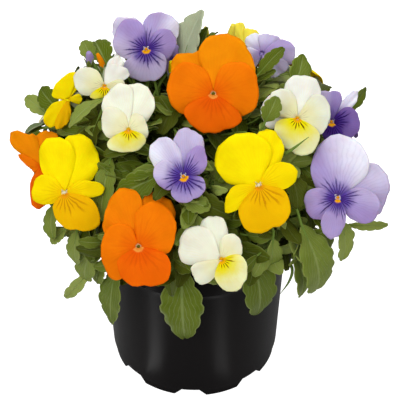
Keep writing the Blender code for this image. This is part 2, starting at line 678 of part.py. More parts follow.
def make_calyx(name, frame, collection):
    """Five pointed sepals round the seat of a corolla, as one star-shaped solid."""
    bm = bmesh.new()
    front, rim = [], []
    for index in range(5):
        angle = math.radians(90.0 + 72.0 * index)
        direction = Vector((math.cos(angle), math.sin(angle), 0.0))
        between = Matrix.Rotation(math.radians(36.0), 3, "Z") @ direction
        front.append(bm.verts.new(frame @ (SEAT + direction * CALYX_RADIUS * 0.9)))
        rim.append(bm.verts.new(frame @ (SEAT + direction * SEPAL_REACH - UP * SEPAL_DROP)))
        rim.append(bm.verts.new(frame @ (SEAT + between * CALYX_RADIUS - UP * SEPAL_NOTCH_DROP)))
    back = bm.verts.new(frame @ (SEAT - UP * CALYX_LENGTH))
    bm.faces.new(front)
    for index in range(5):
        tip, notch, after = rim[2 * index], rim[2 * index + 1], rim[(2 * index + 2) % 10]
        here, following = front[index], front[(index + 1) % 5]
        for corners in ((here, tip, notch), (here, notch, following), (following, notch, after)):
            bm.faces.new(corners)
        bm.faces.new((back, notch, tip))
        bm.faces.new((back, after, notch))
    bmesh.ops.triangulate(bm, faces=bm.faces[:])
    bmesh.ops.recalc_face_normals(bm, faces=bm.faces[:])
    mesh = bpy.data.meshes.new(name)
    bm.to_mesh(mesh)
    bm.free()
    return add_object(name, mesh, collection)


def make_stalk(name, frame, shoot, height, collection):
    """The hooked stalk from a calyx back to its shoot, which it joins at that share of its height."""
    start = frame @ (SEAT - UP * STALK_SINK)
    back = -(frame.to_3x3() @ UP)
    end = curve_point(stem_curve(shoot), height)
    span = (end - start).length
    bend = start + back * span * STALK_HOOK[0] + UP * span * STALK_HOOK[1]
    points = [curve_point((start, bend, end), t) for t in (0.0, 0.2, 0.55, 1.0)]
    return tube(name, points, [STALK_RADIUS] * len(points), collection)


def blade_width(t, belly):
    """Half width of a leaf at t along it, as a share of the greatest."""
    return math.sin(math.pi * t ** (math.log(0.5) / math.log(belly))) ** 0.75


def leaf_frame(foot, tip, roll):
    """Along the leaf, across it and out of its upper face."""
    along = (tip - foot).normalized()
    outward = ((foot + tip) / 2.0 - DOME_MIDDLE).normalized() + UP * 0.25
    face = (outward - along * outward.dot(along)).normalized()
    face = Matrix.Rotation(math.radians(roll), 3, along) @ face
    return along, face.cross(along), face


def leaf_surface(root, foot, tip, width, arch, roll, scallops, belly=0.46):
    """A leaf from its root on the stem: a narrow stalk, then a blade with a scalloped edge."""
    along, across, face = leaf_frame(foot, tip, roll)
    length = (tip - foot).length
    half_stalk = across * LEAF_STALK_WIDTH / 2.0
    bend = foot - along * (foot - root).length * 0.45
    points, key = [], []

    def add(point, t):
        points.append(point)
        key.append(t)
        return len(points) - 1

    rows = []
    for t in (0.0, 0.55) if scallops > 2 else (0.0,):
        middle = curve_point((root, bend, foot), t)
        rows.append([add(middle - half_stalk, 0.0), add(middle + half_stalk, 1.0)])
    rows.append([add(foot - half_stalk, 0.0), add(foot, 0.5), add(foot + half_stalk, 1.0)])
    triangles = []
    for lower, upper in zip(rows, rows[1:]):
        triangles += zip_rows(lower, upper, key)

    def rib(t):
        return foot + along * length * t + face * length * arch * 4.0 * t * (1.0 - t)

    middle_row = [rows[-1][1]]
    key[rows[-1][1]] = 0.0
    for t in (0.34, 0.7):
        middle_row.append(add(rib(t), t))
    end = add(rib(1.0), 1.0)
    middle_row.append(end)
    for side, corner in ((-1.0, rows[-1][0]), (1.0, rows[-1][2])):
        key[corner] = 0.0
        edge = [corner]
        for index in range(scallops):
            crest = (index + 0.55) / scallops * 0.94
            notch = (index + 1.0) / scallops * 0.94
            out = across * side * width / 2.0 * blade_width(crest, belly)
            edge.append(add(rib(crest) + out + face * out.length * 0.12, crest))
            if index < scallops - 1:
                out = across * side * width / 2.0 * blade_width(notch, belly) * 0.82
                edge.append(add(rib(notch) + out + face * out.length * 0.12, notch))
        edge.append(end)
        fan = zip_rows(middle_row, edge, key)
        triangles += [(a, c, b) for a, b, c in fan] if side > 0.0 else fan
    return points, triangles


def leaf_root(shoot, foot):
    """Where on its shoot a leaf grows: a little below the foot of its blade."""
    ends = stem_curve(shoot)
    best = min((abs(curve_point(ends, t / 20.0).z - foot.z + 0.014), t / 20.0) for t in range(4, 20))
    return curve_point(ends, best[1])


# Leaves that find their own room

def skins(points, triangles, thickness):
    """Search tree of a blade's two faces."""
    normals = [Vector() for _ in points]
    for a, b, c in triangles:
        normal = (points[b] - points[a]).cross(points[c] - points[a])
        for corner in (a, b, c):
            normals[corner] += normal
    lifted = []
    for side in (0.5, -0.5):
        lifted += [p + n.normalized() * thickness * side for p, n in zip(points, normals)]
    count = len(points)
    faces = list(triangles) + [tuple(corner + count for corner in face) for face in triangles]
    return BVHTree.FromPolygons(lifted, faces)


def tree_of(mesh):
    points = [vert.co for vert in mesh.vertices]
    return BVHTree.FromPolygons(points, [tuple(face.vertices) for face in mesh.polygons])


def dome_point(azimuth, height, reach):
    """A point at a share of the way out to the dome; azimuth 0 is the front and 90 is +X."""
    azimuth, height = math.radians(azimuth), math.radians(height)
    flat = Vector((math.sin(azimuth), -math.cos(azimuth), 0.0)) * DOME_RADIUS * math.cos(height)
    return DOME_MIDDLE + (flat + UP * DOME_RISE * math.sin(height)) * reach


def nearest_shoot(point):
    return min(SHOOTS, key=lambda shoot: (Vector(SHOOTS[shoot][1]) * MM - point).length)


def fill_tries(index):
    """The places that one leaf tries in turn: shoot, foot, tip, width, arch, roll."""
    draw = random.Random(FILL_SEED * 1000 + index)
    share = (index + 0.5) / FILL_COUNT
    low, high = math.sin(math.radians(FILL_LOWEST)), math.sin(math.radians(FILL_HIGHEST))
    height = math.degrees(math.asin(low + (high - low) * share))
    from_front = abs((index * GOLDEN_ANGLE + 180.0) % 360.0 - 180.0)
    if from_front < LOW_FRONT[0] and height < LOW_FRONT[1]:
        return
    for step in range(FILL_TRIES):
        azimuth = index * GOLDEN_ANGLE + draw.uniform(-14.0, 14.0) * min(step, 1)
        middle = dome_point(azimuth, height + draw.uniform(-6.0, 6.0), draw.uniform(0.80, 0.97) - 0.012 * step)
        outward = (middle - DOME_MIDDLE).normalized()
        spin = Matrix.Rotation(draw.uniform(-1.0, 1.0) * math.radians(70.0), 3, outward)
        downhill = spin @ (outward * outward.z - UP).normalized()
        along = (outward * draw.uniform(0.1, 0.5) + downhill).normalized()
        reach = along * draw.uniform(*FILL_LENGTH) * MM / 2.0
        width = draw.uniform(*FILL_WIDTH) * MM
        roll = draw.uniform(-25.0, 25.0)
        yield nearest_shoot(middle - reach), middle - reach, middle + reach, width, 0.10, roll


def has_room(points, triangles, shoot, obstacles):
    """Whether a leaf clears every other node, and its blade the rest of its own shoot."""
    thickness = LEAF_THICKNESS + 2.0 * GAP
    leaf = skins(points, triangles, thickness)
    blade_only = skins(points, triangles[STALK_TRIANGLES:], thickness)
    for owner, others in obstacles.items():
        tree = blade_only if owner == shoot else leaf
        if any(tree.overlap(other) for other in others):
            return False
    return True


def hides_bloom(points):
    """Whether a leaf lies over the face of a bloom."""
    for name, bloom in BLOOMS.items():
        to_face = face_matrix(*bloom[2:6]).inverted()
        reach = max(max(petal[2]) for petal in petals_of(name, bloom)) * FACE_SHARE
        for point in points:
            local = to_face @ point
            if 0.0 < local.z < FACE_DEPTH and math.hypot(local.x, local.y) < reach:
                return True
    return False


def make_plant(collection):
    obstacles = {"pot": [tree_of(finished_mesh(bpy.data.objects["pot"]))]}
    pieces = {shoot: [make_stem(shoot, collection)] for shoot in SHOOTS}
    for name, bloom in BLOOMS.items():
        shoot, frame = bloom[1], face_matrix(*bloom[2:6])
        obstacles[name] = [tree_of(make_corolla(name, bloom, collection).data)]
        height = STALK_HEIGHTS[len(pieces[shoot]) // 2]
        pieces[shoot].append(make_calyx(name + "_calyx", frame, collection))
        pieces[shoot].append(make_stalk(name + "_stalk", frame, shoot, height, collection))
    for shoot, made in pieces.items():
        obstacles[shoot] = [tree_of(piece.data) for piece in made]
    for name, (shoot, foot, tip, width, arch, roll, scallops) in LEAVES.items():
        foot, tip = Vector(foot) * MM, Vector(tip) * MM
        add_leaf(name, shoot, (foot, tip, width * MM, arch, roll, scallops), pieces, obstacles, collection)
    for index in range(FILL_COUNT):
        for shoot, *form in fill_tries(index):
            shape = (*form, 2)
            points, triangles = leaf_surface(leaf_root(shoot, shape[0]), *shape)
            if not hides_bloom(points) and has_room(points, triangles, shoot, obstacles):
                add_leaf(f"leaf_{index}", shoot, shape, pieces, obstacles, collection)
                break
    for shoot, made in pieces.items():
        node = "shoot_" + shoot
        body = add_object(node, joined(node, made), collection)
        body.data.materials.append(material("foliage"))


def add_leaf(name, shoot, shape, pieces, obstacles, collection):
    points, triangles = leaf_surface(leaf_root(shoot, shape[0]), *shape)
    pieces[shoot].append(blade(name, points, triangles, LEAF_THICKNESS, collection))
    obstacles[shoot].append(skins(points, triangles, LEAF_THICKNESS))


def main():
    clear_scene()
    plant = new_collection("potted_horned_violet")
    cutters = new_collection("cutters")
    make_pot(plant, cutters)
    make_soil(plant, cutters)
    make_plant(plant)


main()
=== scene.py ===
"""A potted horned violet: the finish of its pot and soil, and its blooms, shoots and leaves in full."""

import json
import math
import random

import bmesh
import bpy
import numpy as np
from mathutils import Matrix, Vector
from mathutils.bvhtree import BVHTree

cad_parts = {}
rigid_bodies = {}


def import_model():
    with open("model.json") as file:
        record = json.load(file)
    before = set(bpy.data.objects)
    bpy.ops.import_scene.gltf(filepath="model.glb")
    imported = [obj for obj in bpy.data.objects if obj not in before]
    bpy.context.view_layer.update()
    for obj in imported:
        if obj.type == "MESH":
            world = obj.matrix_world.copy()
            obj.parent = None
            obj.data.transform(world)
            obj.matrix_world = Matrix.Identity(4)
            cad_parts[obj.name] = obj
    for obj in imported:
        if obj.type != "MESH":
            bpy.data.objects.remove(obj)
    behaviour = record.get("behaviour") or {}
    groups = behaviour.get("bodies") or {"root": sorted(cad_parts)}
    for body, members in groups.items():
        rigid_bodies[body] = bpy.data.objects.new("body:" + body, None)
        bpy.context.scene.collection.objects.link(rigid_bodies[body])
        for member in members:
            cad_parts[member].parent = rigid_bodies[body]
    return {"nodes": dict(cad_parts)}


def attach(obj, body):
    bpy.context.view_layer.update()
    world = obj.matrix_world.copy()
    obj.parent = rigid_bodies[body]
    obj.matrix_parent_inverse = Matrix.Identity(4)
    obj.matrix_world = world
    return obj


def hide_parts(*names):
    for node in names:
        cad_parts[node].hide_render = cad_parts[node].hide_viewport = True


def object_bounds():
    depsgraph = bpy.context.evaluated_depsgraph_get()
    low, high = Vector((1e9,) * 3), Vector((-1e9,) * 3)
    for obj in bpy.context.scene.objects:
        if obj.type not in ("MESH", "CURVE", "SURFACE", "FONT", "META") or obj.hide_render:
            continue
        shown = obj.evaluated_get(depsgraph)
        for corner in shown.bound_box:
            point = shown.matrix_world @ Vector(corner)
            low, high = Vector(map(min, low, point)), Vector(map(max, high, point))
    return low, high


bl_info = {
    "name": "Potted horned violet",
    "version": (1, 0, 0),
    "blender": (4, 5, 0),
    "location": "3D View > Sidebar > Violet",
    "description": "Dresses the packed potted horned violet with its finished pot, blooms and leaves",
    "category": "Object",
}

for leftover in list(bpy.data.objects):
    bpy.data.objects.remove(leftover, do_unlink=True)
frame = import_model()
CAD_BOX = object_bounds()

MM = 0.001
UP = Vector((0.0, 0.0, 1.0))

# Camera, as the photograph was taken: distance, aim, tilt in degrees, and lens and sensor in millimetres
CAMERA_DISTANCE = 0.700
CAMERA_AIM = Vector((0.003, 0.0, 0.1055))
CAMERA_TILT = 38.6
CAMERA_LENS = 115.02
CAMERA_SENSOR = 36.0
CAMERA_CLIP = 0.01

# Studio floor: half its width, and how far it lies under the pot
FLOOR_HALF = 4.0
FLOOR_DROP = 0.0002

# Even light all round, and how much of it reflections lose
EVEN_LIGHT = 0.34
EVEN_LIGHT_LOST = 0.30

# Soft lamps: place, width and power
LAMPS = {
    "key": ((-0.45, -0.98, 1.18), 0.85, 10.4),
    "fill": ((0.95, -0.70, 0.80), 0.8, 3.6),
    "top": ((0.0, 0.25, 1.45), 0.9, 5.0),
    "back": ((0.1, 1.2, 0.8), 0.9, 4.0),
}
LAMP_AIM = Vector((0.0, 0.0, 0.1))

# Low strips whose reflections run down the pot's sides: turn in degrees, distance, width, length and power
STRIPS = {
    "strip_left": (-29.0, 0.046, 0.013, 0.072, 0.0074),
    "strip_left_far": (-29.0, 0.124, 0.034, 0.084, 0.0245),
    "strip_right": (19.0, 0.046, 0.013, 0.072, 0.0050),
    "strip_right_far": (19.0, 0.124, 0.034, 0.084, 0.0165),
}
STRIP_HEIGHT = 0.002

# Pot, in the sizes of the solid one
RIM_RADIUS = 0.0525
RIM_TOP = 0.091
RIM_BAND = 0.0095
RIM_STEP = 0.0012
BASE_RADIUS = 0.048
POT_WALL = 0.0014
FOOT_HEIGHT = 0.0053
FOOT_SET_BACK = 0.001
FOOT_WALL = 0.0024
NOTCHES = 8
NOTCH_TURN = -3.0
NOTCH_FOOT_WIDTH = 0.019
NOTCH_TOP_WIDTH = 0.010
NOTCH_HEIGHT = 0.0049
DRAIN_HOLES = 4
DRAIN_RADIUS = 0.0035
DRAIN_RING = 0.027
DRAIN_TURN = 45.0
DRAIN_SIDES = 24

# Rounding of the pot's edges, and how fine its mesh is
EDGE_ROUND = 0.0003
RIM_ROUND = 0.0012
FLOOR_ROUND = 0.002
POT_SIDES = 144
POT_MERGE = 0.00001
POT_SHARP_ANGLE = 28.0

# Soil, and the crumbs on it: their size, the bumps of their shape and the ends of their stretch
SOIL_TOP = 0.0815
SOIL_RADIUS = 0.047
SOIL_SIDES = 64
CRUMB_SIZE = 0.0011
CRUMB_BUMPS = (0.7, 1.15)
CRUMB_LEAST = (0.35, 0.35, 0.3)
CRUMB_MOST = (1.4, 1.1, 0.8)
CRUMB_TURN = (6.3, 6.3, 6.3)
CRUMB_SEED = 5

# Bush, its stems and stalks, and the rule that places the filling leaves of the solids
DOME_MIDDLE = Vector((0.0, 0.0, 0.126))
DOME_RADIUS = 0.100
DOME_RISE = 0.068
STEM_UPRIGHT = 0.004
STALK_HEIGHTS = (0.95, 0.8, 0.65, 0.52)
STALK_SINK = 0.0020
STALK_HOOK = (0.38, 0.10)
FILL_COUNT = 42
FILL_TRIES = 18
FILL_LOWEST = -5.0
FILL_HIGHEST = 84.0
FILL_LENGTH = (28.0, 38.0)
FILL_WIDTH = (13.0, 18.0)
FILL_SEED = 11
GOLDEN_ANGLE = 137.508
LOW_FRONT = (42.0, 18.0)
STEM_RADIUS = 0.0019
STEM_SINK = 0.012
STALK_RADIUS = 0.0009

# Petals: rows and columns of their mesh, where they start, the ruffles along their edge and the lip's notch
PETAL_ROWS = 16
PETAL_COLUMNS = 27
PETAL_START = 0.0009
RUFFLE_WAVES = (2.2, 3.4)
LIP_NOTCH = 0.04
LIP_NOTCH_WIDTH = 0.10
UPPER_PETALS = 2
LIP_PETAL = 4

# Eye, spur and calyx
EYE_DIP = 0.0010
EYE_DIP_RADIUS = 0.0020
THROAT_RADIUS = 0.0021
THROAT_HEIGHTS = (-0.0042, -0.0020)
BEARD_HAIRS = 6
SPUR_TIP = Vector((0.0, -0.0064, -0.0076))
SEAT = Vector((0.0, 0.0018, -0.0041))
SEPALS = 5
SEPAL_REACH = 0.0085
SEPAL_DROP = 0.0045
SEPAL_THICKNESS = 0.0004

# Leaves: rows and columns of their mesh, and how often and how far one that touches a petal is shortened
LEAF_ROWS = 27
LEAF_COLUMNS = 9
LEAF_SHORTENINGS = 8
LEAF_SHORTER = 0.92
FILL_TEETH = 9
# Tones of the filling leaves; the low ones are partly painted shade inside the bush
FILL_TONES = (-1.2, 0.35)
SMALL_LEAF_ARCH = 0.08

# First seeds of the pieces' random draws
BLOOM_SEED = 100
SHOOT_SEED = 300
CALYX_SEED = 500
BUD_SEED = 700
SIDE_STEM_SEED = 71
LEAF_SHAPE_SEED = 40
ZONE_SEEDS = {"canopy": 81, "inner": 82, "skirt": 83, "front": 84}

# Root on the soil and growing tip of each shoot, in millimetres
SHOOTS = {
    "crown_front": ((1, -9), (2, -24, 164)),
    "crown_left": ((-11, 3), (-26, 4, 165)),
    "crown_right": ((11, 5), (27, 6, 163)),
    "front": ((-2, -29), (-4, -56, 134)),
    "front_right": ((16, -23), (30, -50, 140)),
    "right": ((30, -12), (58, -26, 140)),
    "right_back": ((30, 11), (59, 20, 138)),
    "back_right": ((15, 27), (30, 54, 136)),
    "back": ((-7, 31), (-12, 60, 134)),
    "back_left": ((-24, 20), (-44, 42, 136)),
    "left": ((-33, 0), (-62, 0, 140)),
    "left_front": ((-27, -17), (-56, -34, 138)),
    "front_left": ((-14, -25), (-30, -50, 138)),
}

# Colour, shoot, eye, yaw, pitch, roll and cup of the face, and reach of upper petals, sides and lip
BLOOMS = {
    "lavender_top_left": ("lavender", "crown_left", (-24.8, 16.7, 191.6), 0, 34, 0, 0, (21, 18, 17)),
    "lavender_behind_top": ("lavender", "crown_left", (-11, 23, 181), 25, 40, 0, 0, (10, 9, 9)),
    "white_top_left": ("white", "crown_left", (-45, -9.5, 186.5), 0, 38, 0, 0, (17, 16, 11)),
    "cream_centre_left": ("cream", "crown_left", (-31.5, -44.6, 184.5), 0, 39, 0, 0, (24, 14, 12)),
    "orange_top": ("orange", "crown_front", (9.5, -26, 192.8), 0, 38, 0, 0, (31, 23, 20)),
    "lavender_centre": ("lavender", "crown_front", (-4.8, -71.9, 176.9), 0, 38, 0, 0, (22, 15, 12)),
    "lavender_top_right": ("lavender", "crown_right", (34.8, 12, 192.3), 0, 38, 0, 0, (13, 18, 16)),
    "white_right": ("white", "crown_right", (50.5, -35.8, 185), 0, 38, 0, 0, (21, 17, 18)),
    "pale_yellow_back": ("pale_yellow", "crown_right", (27.3, 42, 176.8), 0, 38, 0, 0, (16, 12, 12)),
    "white_back": ("white", "back", (-4, 58, 171), -175, 50, 0, 0, (19, 15, 15)),
    "yellow_centre_right": ("yellow", "front_right", (30.7, -72, 171.8), 0, 38, 0, 0, (27, 19, 22)),
    "cream_low": ("cream", "front", (12.9, -96.7, 147.1), 0, 38, 0, 0, (20, 14, 15)),
    "orange_low": ("orange", "front", (-26, -91, 150), 0, 39, 0, 0, (27, 20, 19)),
    "violet_right": ("violet", "right", (69.3, -19, 171), 0, 38, 0, 0, (21, 14, 12)),
    "lavender_right": ("lavender", "right", (69.9, -62.3, 156.6), 0, 37, 0, 0, (29, 20, 18)),
    "violet_back_right": ("violet", "right_back", (84, 42, 132), 116, 22, 0, 0, (18, 15, 15)),
    "yellow_back_right": ("yellow", "right_back", (62, 66, 150), 136, 34, 8, 0, (20, 16, 16)),
    "orange_back": ("orange", "back_right", (33, 85, 146), 158, 34, -6, 0, (23, 18, 18)),
    "yellow_back": ("yellow", "back", (-2, 97, 134), 178, 30, 0, 0, (20, 17, 18)),
    "lavender_back": ("lavender", "back", (-31, 80, 160), -160, 42, 10, 0, (20, 16, 16)),
    "orange_back_left": ("orange", "back_left", (-51, 79, 128), -146, 22, -8, 0, (21, 17, 17)),
    "cream_back_left": ("cream", "back_left", (-80, 51, 132), -124, 26, 0, 0, (19, 15, 16)),
    "yellow_left": ("yellow", "left", (-65.3, 0, 171.8), 0, 38, 0, 0, (17, 19, 17)),
    "orange_far_left": ("orange", "left_front", (-78, -24, 147), 0, 38, 0, 0, (24, 13, 22)),
    "yellow_front_left": ("yellow", "left_front", (-62.7, -61.8, 159.2), 0, 37, 0, 0, (28, 17, 21)),
}

# A petal's fan: angle from, angle to and five lengths across it, as shares of its reach; rear and front upper
# petal, left, right and lip
PLAIN_PETALS = (
    (86, 166, (0.82, 0.97, 1.0, 0.95, 0.76)),
    (14, 102, (0.76, 0.96, 1.0, 0.98, 0.84)),
    (112, 228, (0.72, 0.96, 1.0, 0.94, 0.78)),
    (-48, 68, (0.78, 0.94, 1.0, 0.96, 0.72)),
    (202, 338, (0.80, 0.98, 1.0, 0.98, 0.80)),
)

# The same for the blooms that face the viewer, in millimetres
FRONT_PETALS = {
    "lavender_top_left": (
        (100, 165, (17, 19.5, 22.6, 21.8, 19)), (12, 102, (18, 21.2, 21.9, 19.8, 17)),
        (92, 214, (16, 18.9, 18.4, 16.8, 13)), (-34, 66, (12.5, 14.2, 16.2, 16, 13)),
        (204, 350, (16.2, 16.4, 17, 15.5, 11.8))),
    "cream_centre_left": (
        (24, 102, (12, 18.5, 22, 23.7, 23)), (80, 155, (22.5, 23.2, 21.8, 19, 15.5)),
        (98, 216, (10, 15.2, 14.3, 12.5, 10.5)), (-40, 84, (9.8, 9.4, 9.2, 9.3, 9)),
        (202, 345, (13.5, 11.8, 11, 10.9, 10.2))),
    "orange_top": (
        (95, 160, (23, 23, 26.5, 26.5, 24)), (15, 115, (23, 27.5, 30.5, 31, 26)),
        (100, 222, (14.5, 22, 23.5, 21.8, 20)), (-52, 80, (18.5, 22, 22.8, 22.3, 17)),
        (198, 330, (17.5, 19, 19.8, 18.8, 20))),
    "lavender_centre": (
        (50, 112, (18.5, 21.3, 23, 22.6, 19)), (92, 172, (15, 21, 21.8, 19, 14)),
        (128, 246, (12.5, 14.6, 13.2, 11, 7.5)), (5, 84, (9.5, 12.5, 15, 16.8, 13)),
        (222, 366, (10.5, 12.4, 11.8, 12.2, 10))),
    "white_right": (
        (128, 206, (17.5, 18.3, 17.8, 16.4, 15)), (36, 122, (17.8, 21.2, 22, 20.8, 16.5)),
        (90, 178, (12.5, 16.5, 17.5, 15.6, 12)), (-46, 62, (14, 15.4, 16.2, 17.5, 16)),
        (180, 335, (12, 14.3, 16.8, 18.3, 15))),
    "yellow_centre_right": (
        (42, 95, (17, 23, 26.3, 27.2, 26.5)), (60, 182, (20, 25.5, 26.5, 25.3, 17.5)),
        (176, 240, (12.5, 15, 18, 20, 12)), (-16, 66, (13, 18.3, 19.2, 16.8, 11)),
        (222, 356, (17.5, 22.5, 22, 20, 14.5))),
    "cream_low": (
        (70, 130, (14, 19, 20.4, 20.2, 19)), (105, 196, (16.5, 20.4, 21.6, 20.4, 18.5)),
        (186, 256, (14.5, 15.3, 15.5, 14.8, 9.5)), (2, 98, (9.8, 11.6, 12.9, 13, 10)),
        (242, 384, (10.5, 15.8, 15.8, 13, 10))),
    "orange_low": (
        (26, 104, (21, 25.3, 26.2, 26.8, 26.5)), (82, 166, (26.8, 28.6, 26.2, 21.2, 19.5)),
        (105, 250, (12, 17.2, 17.4, 19, 20.5)), (-22, 102, (15.3, 18, 21.6, 23.4, 18.5)),
        (205, 352, (13.5, 17.5, 19, 21, 16.5))),
    "lavender_right": (
        (-32, 56, (23, 25, 27, 27.7, 24)), (30, 160, (22.5, 30, 30, 22.8, 14)),
        (146, 250, (12.2, 16, 16.2, 15.8, 12.5)), (-64, 34, (14, 20.8, 21.4, 18.8, 12)),
        (226, 304, (14.5, 19, 20, 15, 8.5))),
    "yellow_front_left": (
        (22, 98, (17, 23, 27, 29.4, 28.5)), (68, 143, (20, 26, 28, 25, 17.5)),
        (118, 228, (11, 15.5, 15.8, 15.3, 9.5)), (-22, 45, (9, 18, 19, 13.5, 10)),
        (222, 354, (9.8, 15, 19.3, 23.2, 16.5))),
    "orange_far_left": (
        (56, 116, (17, 18.4, 18.3, 17.3, 16)), (100, 152, (17.3, 18.3, 22.5, 24.6, 20.5)),
        (146, 232, (15, 9.5, 6.4, 5.6, 5.4)), (-30, 60, (10, 12, 13, 12.5, 10)),
        (228, 290, (10, 15.5, 22, 21.3, 17))),
    "violet_right": (
        (32, 64, (14, 19, 21.5, 19.5, 13.5)), (58, 132, (14.8, 16.4, 15.8, 17, 17.8)),
        (124, 214, (10, 12.5, 13, 12, 9)), (-56, 54, (12.4, 14.2, 14.8, 13.8, 12)),
        (222, 322, (8, 9.8, 11, 10, 9))),
    "white_top_left": (
        (46, 88, (15, 16.5, 17, 16, 13)), (16, 92, (14, 14, 13, 12, 11)),
        (110, 216, (10.5, 14.6, 16.6, 14.4, 11.5)), (-34, 30, (9, 10, 10.5, 10, 9)),
        (206, 324, (9.8, 7.4, 6, 5.6, 5.4))),
    "yellow_left": (
        (50, 86, (9, 10.5, 11.5, 11.5, 10)), (64, 176, (16, 12.8, 11, 9.6, 9.2)),
        (190, 256, (9, 13.5, 17, 17.2, 12.5)), (-26, 34, (6.6, 7, 7.4, 7, 6.6)),
        (238, 290, (15.5, 16, 14, 11, 7.5))),
    "lavender_top_right": (
        (84, 156, (10.2, 11.2, 11.8, 11.4, 10)), (30, 106, (13, 11.8, 10.9, 10.5, 10)),
        (150, 250, (9, 10, 10.5, 10, 9)), (-32, 44, (15.5, 17, 17.4, 15.8, 13)),
        (274, 346, (12.6, 13.8, 14.8, 15.2, 15.4))),
    "pale_yellow_back": (
        (86, 132, (13.5, 15, 14.6, 13, 11)), (30, 98, (10.6, 11.6, 11.5, 11.2, 11)),
        (146, 232, (9, 10, 10.5, 10, 9)), (-40, 40, (8.4, 9, 9.4, 9.4, 8.6)),
        (236, 310, (9, 10.5, 11, 10.5, 9))),
}

# How pale a petal is where its fan starts and ends: rear and front upper petal, left, right and lip. The lip
# of lavender_top_left is paled as painted light against the shadow that falls on it; the other entries are
# the petals' own paler parts
PALE_PETALS = {
    # Its lip's paleness is painted light against the shadow on that lip
    "lavender_top_left": ((0.6, 0.6), (0.75, 0.1), (0.0, 0.4), (0.0, 0.0), (0.3, 0.3)),
    "lavender_centre": ((0.35, 0.35), (0.6, 1.0), (0.5, 0.0), (0.0, 0.0), (0.0, 0.0)),
    "lavender_right": ((0.2, 0.5), (0.95, 0.0), (0.1, 0.0), (0.0, 0.25), (0.0, 0.0)),
    "lavender_top_right": ((1.0, 0.9), (0.3, 0.5), (0.9, 0.5), (0.35, 0.1), (0.7, 0.4)),
    "violet_right": ((1.0, 0.8), (0.1, 0.4), (0.0, 0.0), (0.0, 0.0), (0.0, 0.0)),
}

# How much of its size the pattern round the eye has on blooms that stand hidden or turned aside
SMALL_PATTERNS = {
    "lavender_top_right": 0.18, "lavender_behind_top": 0.3, "yellow_left": 0.3, "orange_far_left": 0.4,
    "pale_yellow_back": 0.3,
}

# Blooms whose upper petals are closer in colour to the others: share of the upper colour
PLAIN_UPPERS = {"orange_low": 0.35}

# Lift at the eye and tilt of the five petals
PETAL_LIFTS = ((-0.0019, -14.0), (-0.0011, -10.5), (-0.0001, -3.0), (-0.0001, -3.0), (0.0009, 5.0))

# Shoot, foot and tip of the blade, width, arch (share of its length), roll and number of scallops a side
LEAVES = {
    "pot_front": ("front", (-6, -72, 121), (-5, -58, 57), 25, 0.10, 0, 4),
    "pot_right": ("front_right", (28.5, -72, 130), (33, -54, 70.5), 20, 0.10, 0, 3),
    "pot_left": ("front_left", (-40, -60, 108), (-45, -47, 57), 15, 0.05, 0, 3),
    "below_yellow": ("front_right", (38, -76, 142), (33, -66, 112), 13, 0.12, -10, 3),
    "right_broad": ("right", (54, -68, 143), (65, -58, 91), 20, 0.12, 8, 4),
    "right_narrow": ("right", (50, -60, 122), (56, -54, 84), 11, 0.10, 0, 2),
    "right_small": ("right", (74, -52, 133), (76, -54, 109), 13, 0.10, 10, 2),
    "right_lobed": ("right", (78.5, -48, 127.5), (100.5, -38, 119.5), 9, 0.05, 12, 3),
    "beside_yellow": ("front_right", (50.5, -64, 164), (55, -76, 148), 13, 0.10, 0, 2),
    "left_upper": ("left_front", (-70, -50, 142), (-70, -62, 130), 12, 0.10, 0, 2),
    "left_mid": ("left_front", (-58, -61, 134), (-60, -58, 110), 10, 0.08, -6, 3),
    "left_low": ("left_front", (-50, -62, 127), (-57, -52, 94), 14, 0.08, -8, 3),
    "left_pale": ("left_front", (-54, -52, 100), (-70, -40, 70), 7, 0.08, -20, 2),
    "beside_orange": ("front_left", (-11, -79, 136), (-11, -78, 106), 7, 0.06, 10, 2),
    "under_lavender": ("crown_front", (-5, -70, 162), (8, -75, 160), 10, 0.10, -10, 3),
    "top_left_broad": ("crown_left", (-46, 26, 176), (-54, 50, 176), 14, 0.10, 10, 3),
    "top_left_folded": ("crown_left", (-54.6, 32, 175.5), (-59.7, 44, 180.2), 9, 0.05, 20, 2),
    "left_shoulder": ("left", (-70, 6, 160), (-82, 22, 164), 12, 0.10, 0, 3),
    "left_shoulder_folded": ("left", (-78, 12, 154), (-91, 26, 156), 9, 0.08, 14, 2),
    "left_toothed": ("left", (-77.5, 6, 153.1), (-87.2, -6, 154.5), 10, 0.08, -25, 3),
    "beside_cream": ("crown_left", (-46, -16, 182.5), (-62, -30, 175), 11, 0.10, 0, 3),
    "top_broad": ("crown_front", (-6, 21, 181), (4.5, 29, 208), 17, 0.05, 30, 3),
    "top_dark": ("crown_front", (6, 18, 182), (10, 30, 194), 9, 0.08, 0, 2),
    "beside_orange_top": ("crown_right", (31.8, -8, 191.7), (45.6, 8, 198.1), 8, 0.08, 0, 3),
    "pointed": ("crown_right", (51, -2, 180), (56, 12, 192), 14, 0.05, 0, 2),
    "over_white": ("crown_right", (34.5, -42.5, 188), (39.8, -38.5, 199.8), 10, 0.08, 0, 2),
    "left_back_reach": ("left", (-80, 24, 126), (-98, 35, 121), 11, 0.10, 0, 2),
    "back_reach": ("back", (14, 84, 118), (18, 107, 112), 14, 0.10, 0, 2),
    "right_blade": ("right", (80, 0, 164), (92, 26, 162), 6, 0.05, 0, 2),
}

